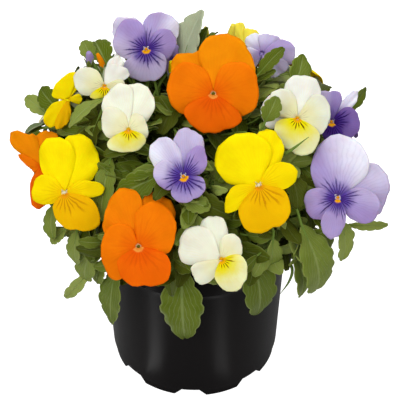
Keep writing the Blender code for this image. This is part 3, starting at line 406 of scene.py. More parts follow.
# Leaves that show their pale underside, and how young, so how yellow, some leaves are; below 0 they turn
# darker and browner, partly as old leaves and partly as painted shade inside the bush; beside_cream's high
# tone partly paints a pale sheen
TURNED_LEAVES = ("top_broad", "left_toothed")
LEAF_TONES = {
    "top_broad": 0.9, "top_dark": 0.1, "pot_front": 0.05, "pot_right": -0.1, "beside_orange": -0.5,
    "pot_left": 0.05, "right_broad": 0.3, "beside_orange_top": -0.3, "over_white": 0.15, "pointed": 0.15,
    "top_left_broad": 0.0, "top_left_folded": 0.4, "left_shoulder": -0.1, "left_shoulder_folded": 0.9,
    "below_yellow": 0.5, "beside_cream": 0.7, "left_pale": 0.95, "under_lavender": 0.4, "right_small": 0.7,
    "right_lobed": 0.8, "left_upper": 0.35, "left_mid": 0.6, "left_low": 0.4, "right_narrow": 0.2,
}

# Small leaves between the larger ones: shoot, foot and tip in millimetres, width, roll and tone; a tone below
# 0 is partly painted shade
SMALL_LEAVES = {
    "flank_tip": ("left_front", (-63.8, -58, 133.3), (-72, -58, 124.1), 7, 0, 0.8),
    "flank_broad": ("left_front", (-54.1, -55, 132.7), (-51.6, -52, 108.2), 13, 0, 0.1),
    "flank_low": ("front_left", (-46.4, -58, 111.4), (-51.1, -54, 94), 10, 0, 0.3),
    "top_dark_high": ("crown_front", (3, 24, 187.9), (7.2, 29, 197.6), 8, 0, -0.5),
    "under_top_right": ("crown_right", (32.1, -8, 188.4), (41.2, -4, 192.3), 5, 0, -0.3),
    "right_gap": ("right", (53.7, -48, 129.6), (57.1, -50, 119.3), 9, 0, 0.0),
    "right_low": ("right", (65, -48, 124.6), (69.9, -48, 111.2), 9, 0, 0.5),
    "left_edge": ("left", (-79.8, 0, 153.8), (-89.3, 2, 149.1), 7, 0, 0.0),
}

# How round a leaf's end is, from 0 for a pointed one to 1; below 0 the leaf tapers towards it as well
PLAIN_LEAF_END = 0.5
LEAF_ENDS = {
    "pointed": 0.0, "beside_cream": 0.0, "top_broad": 0.0, "right_blade": 0.0, "left_toothed": 0.0,
    "pot_front": -0.55, "pot_right": -0.35, "pot_left": -0.25, "right_broad": 0.9, "right_narrow": 0.9,
}

# Widths of some leaves as a share of the solid ones, and moves from them in millimetres
LEAF_WIDTHS = {"right_lobed": 0.62, "top_dark": 0.8, "top_broad": 1.3}
LEAF_MOVES = {"beside_yellow": (-3.5, 11, 0), "right_broad": (-1.5, 1, 0)}

# Buds and rolled young petals: colour, shoot, base, tip and greatest radius in millimetres
BUDS = {
    "lavender_bud": ("lavender", "crown_left", (-54.5, 18, 181.5), (-54.8, 17, 189.5), 2.2),
    "orange_bud": ("orange", "crown_left", (-46.3, 9, 182), (-49.8, 12, 192), 1.5),
    "yellow_bud": ("yellow", "crown_front", (-12.4, 18, 174), (-12.2, 17, 184), 1.8),
    "yellow_bud_right": ("yellow", "crown_right", (5.6, 33, 187), (5.8, 32, 195.5), 1.7),
    "pale_bud": ("pale_yellow", "crown_right", (17.5, 40, 180), (20.6, 42, 191.5), 2.0),
    "white_bud": ("white", "crown_left", (-41.5, 24, 174), (-40.5, 26, 183), 2.0),
}

# A thin leaf and a curling stem on their own: shoot, points and greatest half width in millimetres
BLADES = {
    "over_white_lip": (
        "crown_right", ((31, -30, 164), (38, -44, 168), (44.6, -50, 174.4), (55.6, -46, 181.2)), 1.1),
    "curling_stem": (
        "right",
        ((50, -52, 126), (46.6, -58, 116.8), (50.2, -58, 106.6), (48.9, -58, 97.9), (44.6, -58, 89.1)), 0.9),
}
BLADE_STEPS = 22


def srgb(red, green, blue):
    """A linear colour from its 0 to 255 values on a screen."""
    def linear(value):
        value /= 255.0
        return value / 12.92 if value <= 0.04045 else ((value + 0.055) / 1.055) ** 2.4
    return linear(red), linear(green), linear(blue)


# Finish of each bloom colour: petals, upper petals, zone round the eye, rays, eye, halo, lip and stigma; how
# far the zone, the rays and the halo reach in millimetres; how strong the rays are, and their share on the
# upper and the side petals; how many rays a petal has, whether the halo lies on the upper petals too, and
# whether the side petals are bearded
PLAIN_FINISH = {"upper_rays": 0.0, "upper_halo": 0.0, "ray_lines": 4.4, "beard": False}
PETAL_FINISHES = {
    "lavender": {
        "petal": srgb(167, 145, 201), "upper": srgb(168, 149, 202), "zone": srgb(82, 56, 150),
        "ray": srgb(40, 16, 98), "eye": srgb(246, 168, 10), "halo": srgb(236, 230, 244),
        "lip": srgb(174, 155, 205), "zone_reach": 10.6, "ray_reach": 13.6, "rays": 0.86, "upper_rays": 0.85,
        "halo_reach": 1.6, "side_rays": 1.0, "beard": True, "stigma": srgb(238, 160, 14),
    },
    "violet": {
        "petal": srgb(124, 98, 164), "upper": srgb(146, 122, 188), "zone": srgb(66, 34, 126),
        "ray": srgb(34, 12, 84), "eye": srgb(246, 168, 10), "halo": srgb(236, 230, 244),
        "lip": srgb(96, 68, 146), "zone_reach": 12.0, "ray_reach": 12.0, "rays": 1.0, "upper_rays": 0.5,
        "halo_reach": 1.6, "side_rays": 1.0, "beard": True, "stigma": srgb(238, 160, 14),
    },
    "orange": {
        "petal": srgb(242, 121, 2), "upper": srgb(240, 140, 2), "zone": srgb(232, 88, 0),
        "ray": srgb(190, 50, 0), "eye": srgb(240, 150, 60), "halo": srgb(246, 190, 140),
        "lip": srgb(240, 103, 2), "zone_reach": 12.0, "ray_reach": 18.0, "rays": 0.2, "upper_rays": 0.06,
        "halo_reach": 1.7, "upper_halo": 1.0, "side_rays": 0.45, "stigma": srgb(104, 96, 14),
    },
    "yellow": {
        "petal": srgb(253, 221, 0), "upper": srgb(252, 224, 0), "zone": srgb(242, 182, 0),
        "ray": srgb(186, 112, 0), "eye": srgb(232, 152, 10), "halo": srgb(250, 240, 205),
        "lip": srgb(242, 184, 0), "zone_reach": 9.0, "ray_reach": 16.0, "rays": 0.62,
        "halo_reach": 1.7, "side_rays": 0.25, "beard": True, "stigma": srgb(250, 238, 196),
    },
    "pale_yellow": {
        "petal": srgb(250, 234, 100), "upper": srgb(252, 230, 80), "zone": srgb(250, 222, 40),
        "ray": srgb(120, 66, 0), "eye": srgb(244, 170, 10), "halo": srgb(252, 250, 230),
        "lip": srgb(250, 226, 60), "zone_reach": 8.0, "ray_reach": 6.0, "rays": 0.9,
        "halo_reach": 1.4, "side_rays": 0.3, "stigma": srgb(238, 200, 60),
    },
    "cream": {
        "petal": srgb(236, 234, 210), "upper": srgb(240, 239, 220), "zone": srgb(236, 220, 0),
        "ray": srgb(122, 66, 6), "eye": srgb(244, 176, 6), "halo": srgb(240, 222, 60),
        "lip": srgb(241, 239, 184), "zone_reach": 13.6, "ray_reach": 7.4, "rays": 0.9,
        "halo_reach": 1.5, "side_rays": 0.12, "ray_lines": 3.6, "stigma": srgb(240, 168, 10),
    },
    "white": {
        "petal": srgb(231, 231, 214), "upper": srgb(238, 236, 227), "zone": srgb(240, 224, 0),
        "ray": srgb(100, 54, 6), "eye": srgb(244, 176, 6), "halo": srgb(240, 226, 80),
        "lip": srgb(239, 238, 184), "zone_reach": 16.5, "ray_reach": 7.8, "rays": 1.0,
        "halo_reach": 1.5, "side_rays": 0.2, "ray_lines": 3.6, "stigma": srgb(238, 150, 10),
    },
}


# Node trees

def put(tree, kind, inputs=None, **settings):
    """A node with its settings, and its inputs set to values or linked to sockets."""
    node = tree.nodes.new(kind)
    for name, value in settings.items():
        setattr(node, name, value)
    for name, value in (inputs or {}).items():
        socket = node.inputs[name]
        if isinstance(value, bpy.types.NodeSocket):
            tree.links.new(value, socket)
        else:
            socket.default_value = value
    return node


def calc(tree, operation, first, second=0.0, third=0.0):
    """The result of a Math node."""
    node = tree.nodes.new("ShaderNodeMath")
    node.operation = operation
    for socket, value in zip(node.inputs, (first, second, third)):
        if isinstance(value, bpy.types.NodeSocket):
            tree.links.new(value, socket)
        else:
            socket.default_value = value
    return node.outputs[0]


def step_down(tree, value, low, high):
    """1 below low, 0 above high and smooth between."""
    inputs = {"Value": value, "From Min": low, "From Max": high, "To Min": 1.0, "To Max": 0.0}
    return put(tree, "ShaderNodeMapRange", inputs, interpolation_type="SMOOTHSTEP").outputs[0]


def blend(tree, share, first, second, mode="MIX"):
    """Two colours mixed by a share."""
    node = tree.nodes.new("ShaderNodeMix")
    node.data_type = "RGBA"
    node.blend_type = mode
    for socket, value in ((node.inputs[0], share), (node.inputs[6], first), (node.inputs[7], second)):
        if isinstance(value, bpy.types.NodeSocket):
            tree.links.new(value, socket)
        else:
            socket.default_value = value
    return node.outputs[2]


def attribute(tree, name):
    return put(tree, "ShaderNodeAttribute", attribute_name=name).outputs["Fac"]


def object_noise(tree, scale, detail=2.0, stretch=(1.0, 1.0, 1.0)):
    """Noise on the piece's own place, at a scale per metre."""
    place = put(tree, "ShaderNodeTexCoord").outputs["Object"]
    place = put(tree, "ShaderNodeMapping", {"Vector": place, "Scale": stretch}).outputs[0]
    inputs = {"Vector": place, "Scale": scale, "Detail": detail}
    return put(tree, "ShaderNodeTexNoise", inputs).outputs["Fac"]


def new_group(name, sockets_in, sockets_out):
    """A shader node group with its sockets: name, type and default."""
    tree = bpy.data.node_groups.new(name, "ShaderNodeTree")
    for label, kind, default in sockets_in:
        socket = tree.interface.new_socket(name=label, in_out="INPUT", socket_type=kind)
        socket.default_value = default
    for label, kind in sockets_out:
        tree.interface.new_socket(name=label, in_out="OUTPUT", socket_type=kind)
    source = tree.nodes.new("NodeGroupInput").outputs
    sink = tree.nodes.new("NodeGroupOutput").inputs
    return tree, source, sink


FLOAT = "NodeSocketFloat"
COLOUR = "NodeSocketColor"
WHITE = (1.0, 1.0, 1.0, 1.0)

# Inputs of the petal pattern, which each colour's finish sets
PATTERN_COLOURS = ("Petal", "Upper", "Zone", "Ray", "Eye", "Halo", "Lip")
PATTERN_VALUES = (
    "Zone Reach", "Ray Reach", "Rays", "Upper Rays", "Halo Reach", "Upper Halo", "Side Rays", "Ray Lines")

# Tint of the washed-out part of a petal, and what its rim is multiplied by
WASHED_PETAL = (0.86, 0.83, 0.93, 1.0)
# The rim's brightening is painted light: it stands in for light through the thin edge and lightens the crease
# where one petal lies over another
PETAL_RIM_LIGHT = (1.12, 1.12, 1.08, 1.0)

# Finish of the leaves' two faces: blade, young blade, vein and margin, strength of the veins, and roughness
LEAF_FINISHES = {
    "leaf_upper": (
        srgb(97, 114, 25), srgb(156, 170, 84), srgb(166, 180, 112), srgb(154, 168, 90), 0.42, 0.38),
    "leaf_underside": (
        srgb(122, 139, 96), srgb(188, 197, 162), srgb(198, 206, 176), srgb(186, 196, 158), 0.6, 0.6),
}

# Colour that the lowest tones turn to: partly old leaves, partly painted shade for leaves deep in the bush
OLD_AND_SHADED_LEAF = srgb(66, 69, 12)

# The two colours that stems, the soil and the dust on the pot change between
STEM_COLOURS = (srgb(84, 112, 38), srgb(134, 160, 70))
SOIL_COLOURS = (srgb(34, 24, 17), srgb(96, 74, 54))
POT_DUST = srgb(120, 112, 104)


def petal_group():
    """Colour and relief of a petal: zone round the eye, rays, eye, halo and fine veins."""
    found = bpy.data.node_groups.get("petal_pattern")
    if found:
        return found
    colours = [(name, COLOUR, WHITE) for name in PATTERN_COLOURS]
    values = [(name, FLOAT, 1.0) for name in PATTERN_VALUES]
    tree, source, sink = new_group("petal_pattern", colours + values, [("Color", COLOUR), ("Height", FLOAT)])
    radius, across, along = (attribute(tree, name) for name in ("radius", "across", "along"))
    lip, upper, pale = (attribute(tree, name) for name in ("lip", "upper", "pale"))
    wander = calc(tree, "SUBTRACT", object_noise(tree, 260.0), 0.5)
    fine = calc(tree, "SUBTRACT", object_noise(tree, 1400.0), 0.5)

    # Base colour, by petal, with the pale wash, a painted light along the rim and a painted shade of the
    # petal's waves
    base = blend(tree, lip, source["Petal"], source["Lip"])
    base = blend(tree, upper, base, source["Upper"])
    washed = calc(tree, "MULTIPLY", pale, step_down(tree, calc(tree, "SUBTRACT", 1.0, along), 0.15, 1.0))
    base = blend(tree, washed, base, WASHED_PETAL)
    # Painted light: the rim is brightened, standing in for light through the thin edge and lightening creases
    rim = step_down(tree, calc(tree, "SUBTRACT", 1.0, along), 0.0, 0.10)
    base = blend(tree, rim, base, PETAL_RIM_LIGHT, "MULTIPLY")
    # Painted shade: a soft random mottle of the colour stands in for the light and shade of the petal's waves
    painted_wave_shade = calc(tree, "MULTIPLY_ADD", calc(tree, "SUBTRACT", object_noise(tree, 130.0), 0.5), 0.34, 1.0)
    calmer = calc(tree, "MULTIPLY_ADD", painted_wave_shade, 0.6, 0.4)
    painted_wave_shade = put(tree, "ShaderNodeCombineColor", {"Red": calmer, "Green": painted_wave_shade, "Blue": painted_wave_shade}).outputs[0]
    base = blend(tree, 1.0, base, painted_wave_shade, "MULTIPLY")

    # Zone round the eye
    spread = calc(tree, "MULTIPLY_ADD", wander, 5.0, radius)
    zone = step_down(tree, spread, calc(tree, "MULTIPLY", source["Zone Reach"], 0.25), source["Zone Reach"])
    on_petal = calc(tree, "MULTIPLY_ADD", upper, calc(tree, "SUBTRACT", source["Upper Rays"], 1.0), 1.0)
    side = calc(tree, "SUBTRACT", 1.0, calc(tree, "MAXIMUM", lip, upper))
    on_side = calc(tree, "MULTIPLY_ADD", side, calc(tree, "SUBTRACT", source["Side Rays"], 1.0), 1.0)
    zone = calc(tree, "MULTIPLY", zone, calc(tree, "MULTIPLY_ADD", on_side, 0.85, 0.15))
    base = blend(tree, calc(tree, "MULTIPLY", zone, on_petal), base, source["Zone"])

    # Veins that fan out over the whole petal
    fan = calc(tree, "MULTIPLY_ADD", wander, 0.14, across)
    wave = calc(tree, "SINE", calc(tree, "MULTIPLY", fan, 58.0))
    vein = calc(tree, "POWER", calc(tree, "MULTIPLY_ADD", wave, 0.5, 0.5), 4.0)
    vein = calc(tree, "MULTIPLY", vein, calc(tree, "MULTIPLY_ADD", fine, 0.9, 0.6))
    faded = calc(tree, "MULTIPLY", vein, calc(tree, "MULTIPLY_ADD", along, -0.8, 1.0))
    base = blend(tree, calc(tree, "MULTIPLY", faded, 0.32), base, source["Zone"])

    # Rays: a few dark lines, each of its own length
    lines = calc(tree, "MULTIPLY_ADD", calc(tree, "MULTIPLY_ADD", fine, 0.05, fan), source["Ray Lines"], 0.5)
    number = calc(tree, "FLOOR", lines)
    own = put(tree, "ShaderNodeTexWhiteNoise", {"W": number}, noise_dimensions="1D").outputs["Value"]
    beside = calc(tree, "ABSOLUTE", calc(tree, "SUBTRACT", calc(tree, "FRACT", lines), 0.5))
    reach = calc(tree, "MULTIPLY", source["Ray Reach"], calc(tree, "MULTIPLY_ADD", own, 0.40, 0.60))
    share = calc(tree, "DIVIDE", radius, reach)
    width = calc(tree, "MULTIPLY_ADD", share, -0.30, 0.44)
    ray = step_down(tree, beside, calc(tree, "MULTIPLY", width, 0.45), calc(tree, "MAXIMUM", width, 0.02))
    ray = calc(tree, "MULTIPLY", ray, step_down(tree, share, 0.66, 1.0))
    ray = calc(tree, "MULTIPLY", ray, step_down(tree, calc(tree, "ABSOLUTE", across), 0.60, 1.0))
    strength = calc(tree, "MULTIPLY", source["Rays"], calc(tree, "MULTIPLY", on_petal, on_side))
    base = blend(tree, calc(tree, "MULTIPLY", ray, strength), base, source["Ray"])

    # Eye on the lip, and a pale halo on the other petals
    edge = calc(tree, "MULTIPLY_ADD", fine, 0.8, radius)
    reach = calc(tree, "MULTIPLY", source["Halo Reach"], calc(tree, "MULTIPLY_ADD", lip, 0.8, 1.0))
    near = step_down(tree, edge, calc(tree, "MULTIPLY", reach, 0.7), reach)
    kept = calc(tree, "MULTIPLY_ADD", upper, calc(tree, "SUBTRACT", source["Upper Halo"], 1.0), 1.0)
    centre = blend(tree, lip, source["Halo"], source["Eye"])
    colour = blend(tree, calc(tree, "MULTIPLY", near, kept), base, centre)
    tree.links.new(colour, sink["Color"])
    height = calc(tree, "MULTIPLY_ADD", vein, 0.10, calc(tree, "MULTIPLY", wander, 0.25))
    tree.links.new(height, sink["Height"])
    return tree


def leaf_group():
    """Colour and relief of a leaf: midrib, side veins, margin and the tone of each leaf, whose low end is
    partly painted shade.
    """
    found = bpy.data.node_groups.get("leaf_pattern")
    if found:
        return found
    colours = [(name, COLOUR, WHITE) for name in ("Blade", "Young", "Vein", "Margin", "Old")]
    values = [("Vein Strength", FLOAT, 0.5)]
    tree, source, sink = new_group("leaf_pattern", colours + values, [("Color", COLOUR), ("Height", FLOAT)])
    across, along, tone = (attribute(tree, name) for name in ("across", "along", "tone"))
    wide = calc(tree, "ABSOLUTE", across)
    wander = calc(tree, "SUBTRACT", object_noise(tree, 330.0), 0.5)
    mottle = calc(tree, "SUBTRACT", object_noise(tree, 95.0, 3.0), 0.5)
    grain = calc(tree, "SUBTRACT", object_noise(tree, 2200.0), 0.5)

    # Midrib, side veins that slant to the tip, and a paler margin
    rib = step_down(tree, wide, 0.02, 0.11)
    slant = calc(tree, "MULTIPLY_ADD", wide, -0.72, along)
    slant = calc(tree, "MULTIPLY_ADD", wander, 0.06, slant)
    wave = calc(tree, "PINGPONG", calc(tree, "MULTIPLY", slant, 6.0), 0.5)
    side = step_down(tree, wave, 0.02, 0.11)
    side = calc(tree, "MULTIPLY", side, step_down(tree, wide, 0.55, 1.0))
    vein = calc(tree, "MAXIMUM", rib, calc(tree, "MULTIPLY", side, 0.75))
    edge = step_down(tree, calc(tree, "SUBTRACT", 1.0, wide), 0.01, 0.09)

    # Colour, from old and painted-shade dark through plain to young
    blade = blend(tree, calc(tree, "MULTIPLY_ADD", mottle, 0.7, tone), source["Blade"], source["Young"])
    blade = blend(tree, calc(tree, "MULTIPLY", vein, source["Vein Strength"]), blade, source["Vein"])
    blade = blend(tree, calc(tree, "MULTIPLY", edge, 0.6), blade, source["Margin"])
    # Painted shade: below 0 the tone darkens and browns the leaf, for leaves in the bush's shade as well as
    # old ones
    old_and_shaded = calc(tree, "MULTIPLY", calc(tree, "MINIMUM", tone, 0.0), -0.8)
    blade = blend(tree, old_and_shaded, blade, source["Old"])
    shade = calc(tree, "MULTIPLY_ADD", grain, 0.25, 1.0)
    shade = put(tree, "ShaderNodeCombineColor", {"Red": shade, "Green": shade, "Blue": shade}).outputs[0]
    tree.links.new(blend(tree, 1.0, blade, shade, "MULTIPLY"), sink["Color"])
    height = calc(tree, "MULTIPLY_ADD", vein, -0.5, calc(tree, "MULTIPLY", grain, 0.12))
    tree.links.new(height, sink["Height"])
    return tree


def new_material(name, values):
    """A material with its Principled shader, whose plain values are set on its own sockets."""
    material = bpy.data.materials.new(name)
    material.use_nodes = True
    shader = material.node_tree.nodes["Principled BSDF"]
    for label, value in values.items():
        shader.inputs[label].default_value = value
    return material, material.node_tree, shader


def relief(tree, shader, height, distance, strength=1.0):
    """Feeds a height to the shader's normal."""
    inputs = {"Height": height, "Distance": distance, "Strength": strength}
    bump = put(tree, "ShaderNodeBump", inputs)
    tree.links.new(bump.outputs[0], shader.inputs["Normal"])


def petal_material(colour, back=False):
    """Finish of a bloom colour's petals; their backs have no pattern."""
    name = f"petal_{colour}_back" if back else f"petal_{colour}"
    found = bpy.data.materials.get(name)
    if found:
        return found
    finish = {**PLAIN_FINISH, **PETAL_FINISHES[colour]}
    material, tree, shader = new_material(name, {
        "Roughness": 0.7, "Specular IOR Level": 0.04, "Subsurface Weight": 0.15, "Subsurface Scale": 0.0015})
    group = put(tree, "ShaderNodeGroup", node_tree=petal_group())
    for label in PATTERN_COLOURS:
        key = "upper" if back and label != "Petal" else label.lower()
        group.inputs[label].default_value = (*finish[key], 1.0)
    for label in PATTERN_VALUES:
        group.inputs[label].default_value = finish[label.lower().replace(" ", "_")]
    tree.links.new(group.outputs["Color"], shader.inputs["Base Color"])
    relief(tree, shader, group.outputs["Height"], 0.0006, 0.5)
    return material


def leaf_material(name):
    found = bpy.data.materials.get(name)
    if found:
        return found
    *colours, vein_strength, roughness = LEAF_FINISHES[name]
    material, tree, shader = new_material(name, {
        "Roughness": roughness, "Specular IOR Level": 0.06, "Subsurface Weight": 0.06,
        "Subsurface Scale": 0.001})
    group = put(tree, "ShaderNodeGroup", node_tree=leaf_group())
    for label, value in zip(("Blade", "Young", "Vein", "Margin", "Old"), (*colours, OLD_AND_SHADED_LEAF)):
        group.inputs[label].default_value = (*value, 1.0)
    group.inputs["Vein Strength"].default_value = vein_strength
    tree.links.new(group.outputs["Color"], shader.inputs["Base Color"])
    relief(tree, shader, group.outputs["Height"], 0.0007, 0.7)
    return material


def leaf_materials():
    """Upper face and underside of the leaves."""
    return [leaf_material(name) for name in LEAF_FINISHES]


def stem_material():
    found = bpy.data.materials.get("stem")
    if found:
        return found
    material, tree, shader = new_material("stem", {"Roughness": 0.5, "Specular IOR Level": 0.1})
    streak = object_noise(tree, 420.0, 3.0, (1.0, 1.0, 0.25))
    colour = blend(tree, streak, *((*shade, 1.0) for shade in STEM_COLOURS))
    tree.links.new(colour, shader.inputs["Base Color"])
    relief(tree, shader, streak, 0.0004, 0.4)
    return material


# Meshes

class Parts:
    """Closed bodies gathered into one mesh, with their material slots and point attributes."""

    names = ("along", "across", "radius", "lip", "upper", "pale", "tone")

    def __init__(self):
        self.points = []
        self.faces = []
        self.slots = []
        self.values = {name: [] for name in self.names}
        self.count = 0

    def add(self, points, faces, slots, **values):
        self.points.append(np.asarray(points, float))
        self.faces += [tuple(int(corner) + self.count for corner in face) for face in faces]
        self.slots += list(slots)
        for name in self.names:
            value = np.broadcast_to(np.asarray(values.get(name, 0.0), float), (len(points),))
            self.values[name].append(value)
        self.count += len(points)

    def add_sheet(self, grid, thickness, slots=(0, 1), **values):
        """A thin body from a grid of points, whose upper face is on the side that rows x columns point to."""
        rows, columns = grid.shape[:2]
        along = np.gradient(grid, axis=0)
        across = np.gradient(grid, axis=1)
        normal = np.cross(along, across)
        normal /= np.maximum(np.linalg.norm(normal, axis=2, keepdims=True), 1e-12)
        upper = (grid + normal * thickness / 2.0).reshape(-1, 3)
        under = (grid - normal * thickness / 2.0).reshape(-1, 3)
        total = rows * columns
        index = np.arange(total).reshape(rows, columns)
        faces, materials = [], []
        for i in range(rows - 1):
            for j in range(columns - 1):
                quad = (index[i, j], index[i + 1, j], index[i + 1, j + 1], index[i, j + 1])
                faces.append(quad)
                faces.append(tuple(corner + total for corner in reversed(quad)))
                materials += list(slots)
        edge = list(index[0, :]) + list(index[1:, -1]) + list(index[-1, -2::-1]) + list(index[-2:0:-1, 0])
        for here, following in zip(edge, edge[1:] + edge[:1]):
            faces.append((here, following, following + total, here + total))
            materials.append(slots[0])
        doubled = {name: np.tile(np.asarray(value, float).ravel(), 2) for name, value in values.items()}
        self.add(np.vstack((upper, under)), faces, materials, **doubled)

    def add_tube(self, points, radii, sides, slot, **values):
        """A closed tube along points."""
        points = np.array([list(point) for point in points], float)
        tangents = np.gradient(points, axis=0)
        tangents /= np.linalg.norm(tangents, axis=1, keepdims=True)
        helper = np.array((0.0, 0.0, 1.0)) if abs(tangents[0][2]) < 0.9 else np.array((1.0, 0.0, 0.0))
        side = np.cross(tangents[0], helper)
        rings = []
        for point, tangent, radius in zip(points, tangents, radii):
            side = side - tangent * side.dot(tangent)
            side /= np.linalg.norm(side)
            other = np.cross(tangent, side)
            angles = np.arange(sides) * 2.0 * math.pi / sides
            rings.append(point + radius * (np.outer(np.cos(angles), side) + np.outer(np.sin(angles), other)))
        count = len(points)
        faces = []
        for i in range(count - 1):
            for j in range(sides):
                k = (j + 1) % sides
                faces.append((i * sides + j, i * sides + k, (i + 1) * sides + k, (i + 1) * sides + j))
        faces.append(tuple(reversed(range(sides))))
        faces.append(tuple(range((count - 1) * sides, count * sides)))
        self.add(np.vstack(rings), faces, [slot] * len(faces), **values)

    def mesh(self, name):
        mesh = bpy.data.meshes.new(name)
        mesh.from_pydata(np.vstack(self.points).tolist(), [], self.faces)
        mesh.polygons.foreach_set("material_index", self.slots)
        for label, arrays in self.values.items():
            data = mesh.attributes.new(label, "FLOAT", "POINT")
            data.data.foreach_set("value", np.concatenate(arrays).astype(np.float32))
        mesh.shade_smooth()
        mesh.update()
        return mesh


def add_piece(name, mesh, materials, record_slot, replaced=()):
    """A finished piece that rides on the part."""
    for material in materials:
        mesh.materials.append(material)
    piece = bpy.data.objects.new(name, mesh)
    bpy.context.scene.collection.objects.link(piece)
    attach(piece, "root")
    if replaced:
        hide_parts(*replaced)


def finished_mesh(obj):
    """The object's mesh with its modifiers applied; the object goes."""
    graph = bpy.context.evaluated_depsgraph_get()
    mesh = bpy.data.meshes.new_from_object(obj.evaluated_get(graph))
    bpy.data.objects.remove(obj, do_unlink=True)
    return mesh


def tree_of(obj):
    """The object's faces, for tests of what comes up to them."""
    corners = [vert.co for vert in obj.data.vertices]
    return BVHTree.FromPolygons(corners, [tuple(face.vertices) for face in obj.data.polygons])


def corolla_trees():
    return [tree_of(bpy.data.objects["corolla_" + name]) for name in BLOOMS]


def touches(grid, trees):
    """Whether a sheet of points comes up to one of the trees."""
    rows, columns = grid.shape[:2]
    quads = [(i * columns + j, (i + 1) * columns + j, (i + 1) * columns + j + 1, i * columns + j + 1)
             for i in range(rows - 1) for j in range(columns - 1)]
    sheet = BVHTree.FromPolygons(grid.reshape(-1, 3).tolist(), quads, epsilon=0.0005)
    return any(sheet.overlap(tree) for tree in trees)


# Forms that follow the solids

def face_matrix(eye, yaw, pitch, roll):
    """Frame of a bloom: X to the viewer's right, Y up, Z out of the face."""
    yaw, pitch = math.radians(yaw), math.radians(pitch)
    out = Vector((math.sin(yaw) * math.cos(pitch), -math.cos(yaw) * math.cos(pitch), math.sin(pitch)))
    right = Vector((math.cos(yaw), math.sin(yaw), 0.0))
    up = out.cross(right)
    turn = Matrix((right, up, out)).transposed() @ Matrix.Rotation(math.radians(roll), 3, "Z")
    return Matrix.Translation(Vector(eye) * MM) @ turn.to_4x4()


def placed(grid, matrix):
    """A grid of points brought from a bloom's own frame to its place."""
    return grid @ np.array(matrix.to_3x3()).T + np.array(matrix.translation)


def curve_point(ends, t):
    start, bend, end = ends
    return start.lerp(bend, t).lerp(bend.lerp(end, t), t)


def curve_points(ends, count):
    return [curve_point(ends, t / (count - 1.0)) for t in range(count)]


def stem_curve(shoot):
    root, tip = SHOOTS[shoot]
    start = Vector((root[0] * MM, root[1] * MM, SOIL_TOP + STEM_UPRIGHT))
    end = Vector(tip) * MM
    bend = Vector((start.x, start.y, start.z * 0.45 + end.z * 0.55))
    return start, bend, end


def stalk_curve(matrix, shoot, height):
    start = matrix @ (SEAT - UP * STALK_SINK)
    back = -(matrix.to_3x3() @ UP)
    end = curve_point(stem_curve(shoot), height)
    span = (end - start).length
    return start, start + back * span * STALK_HOOK[0] + UP * span * STALK_HOOK[1], end


def blade_width(t, belly=0.46):
    """Half width of a leaf at t along it, as a share of the greatest."""
    return np.sin(np.pi * np.clip(t, 0.0, 1.0) ** (math.log(0.5) / math.log(belly))) ** 0.75


def leaf_frame(foot, tip, roll):
    along = (tip - foot).normalized()
    outward = ((foot + tip) / 2.0 - DOME_MIDDLE).normalized() + UP * 0.25
    face = (outward - along * outward.dot(along)).normalized()
    face = Matrix.Rotation(math.radians(roll), 3, along) @ face
    return along, face.cross(along), face


def leaf_root(shoot, foot):
    ends = stem_curve(shoot)
    best = min((abs(curve_point(ends, t / 20.0).z - foot.z + 0.014), t / 20.0) for t in range(4, 20))
    return curve_point(ends, best[1])


def dome_point(azimuth, height, reach):
    azimuth, height = math.radians(azimuth), math.radians(height)
    flat = Vector((math.sin(azimuth), -math.cos(azimuth), 0.0)) * DOME_RADIUS * math.cos(height)
    return DOME_MIDDLE + (flat + UP * DOME_RISE * math.sin(height)) * reach


def nearest_shoot(point):
    return min(SHOOTS, key=lambda shoot: (Vector(SHOOTS[shoot][1]) * MM - point).length)


def fill_tries(index):
    """The places that one of the solid leaves tried in turn: shoot, foot, tip, width, arch, roll."""
    draw = random.Random(FILL_SEED * 1000 + index)
    share = (index + 0.5) / FILL_COUNT
    low, high = math.sin(math.radians(FILL_LOWEST)), math.sin(math.radians(FILL_HIGHEST))
    height = math.degrees(math.asin(low + (high - low) * share))
    from_front = abs((index * GOLDEN_ANGLE + 180.0) % 360.0 - 180.0)
    if from_front < LOW_FRONT[0] and height < LOW_FRONT[1]:
        return
    for step in range(FILL_TRIES):
        azimuth = index * GOLDEN_ANGLE + draw.uniform(-14.0, 14.0) * min(step, 1)
        height_there = height + draw.uniform(-6.0, 6.0)
        middle = dome_point(azimuth, height_there, draw.uniform(0.80, 0.97) - 0.012 * step)
        outward = (middle - DOME_MIDDLE).normalized()
        spin = Matrix.Rotation(draw.uniform(-1.0, 1.0) * math.radians(70.0), 3, outward)
        downhill = spin @ (outward * outward.z - UP).normalized()
        along = (outward * draw.uniform(0.1, 0.5) + downhill).normalized()
        reach = along * draw.uniform(*FILL_LENGTH) * MM / 2.0
        width = draw.uniform(*FILL_WIDTH) * MM
        roll = draw.uniform(-25.0, 25.0)
        yield nearest_shoot(middle - reach), middle - reach, middle + reach, width, 0.10, roll


def solid_leaves():
    """Every leaf that the solids have, by shoot: name, foot, tip, width, arch and roll."""
    leaves = {shoot: [] for shoot in SHOOTS}
    for name, (shoot, foot, tip, width, arch, roll, _) in LEAVES.items():
        leaves[shoot].append((name, Vector(foot) * MM, Vector(tip) * MM, width * MM, arch, roll))
    trees = {shoot: tree_of(frame["nodes"]["shoot_" + shoot]) for shoot in SHOOTS}
    for index in range(FILL_COUNT):
        for shoot, foot, tip, width, arch, roll in fill_tries(index):
            along, _, face = leaf_frame(foot, tip, roll)
            length = (tip - foot).length
            marks = [foot + along * length * t + face * length * arch * 4.0 * t * (1.0 - t)
                     for t in (0.34, 0.7, 1.0)]
            if all(trees[shoot].find_nearest(mark)[3] < 0.0006 for mark in marks):
                leaves[shoot].append((f"leaf_{index}", foot, tip, width, arch, roll))
                break
    return leaves


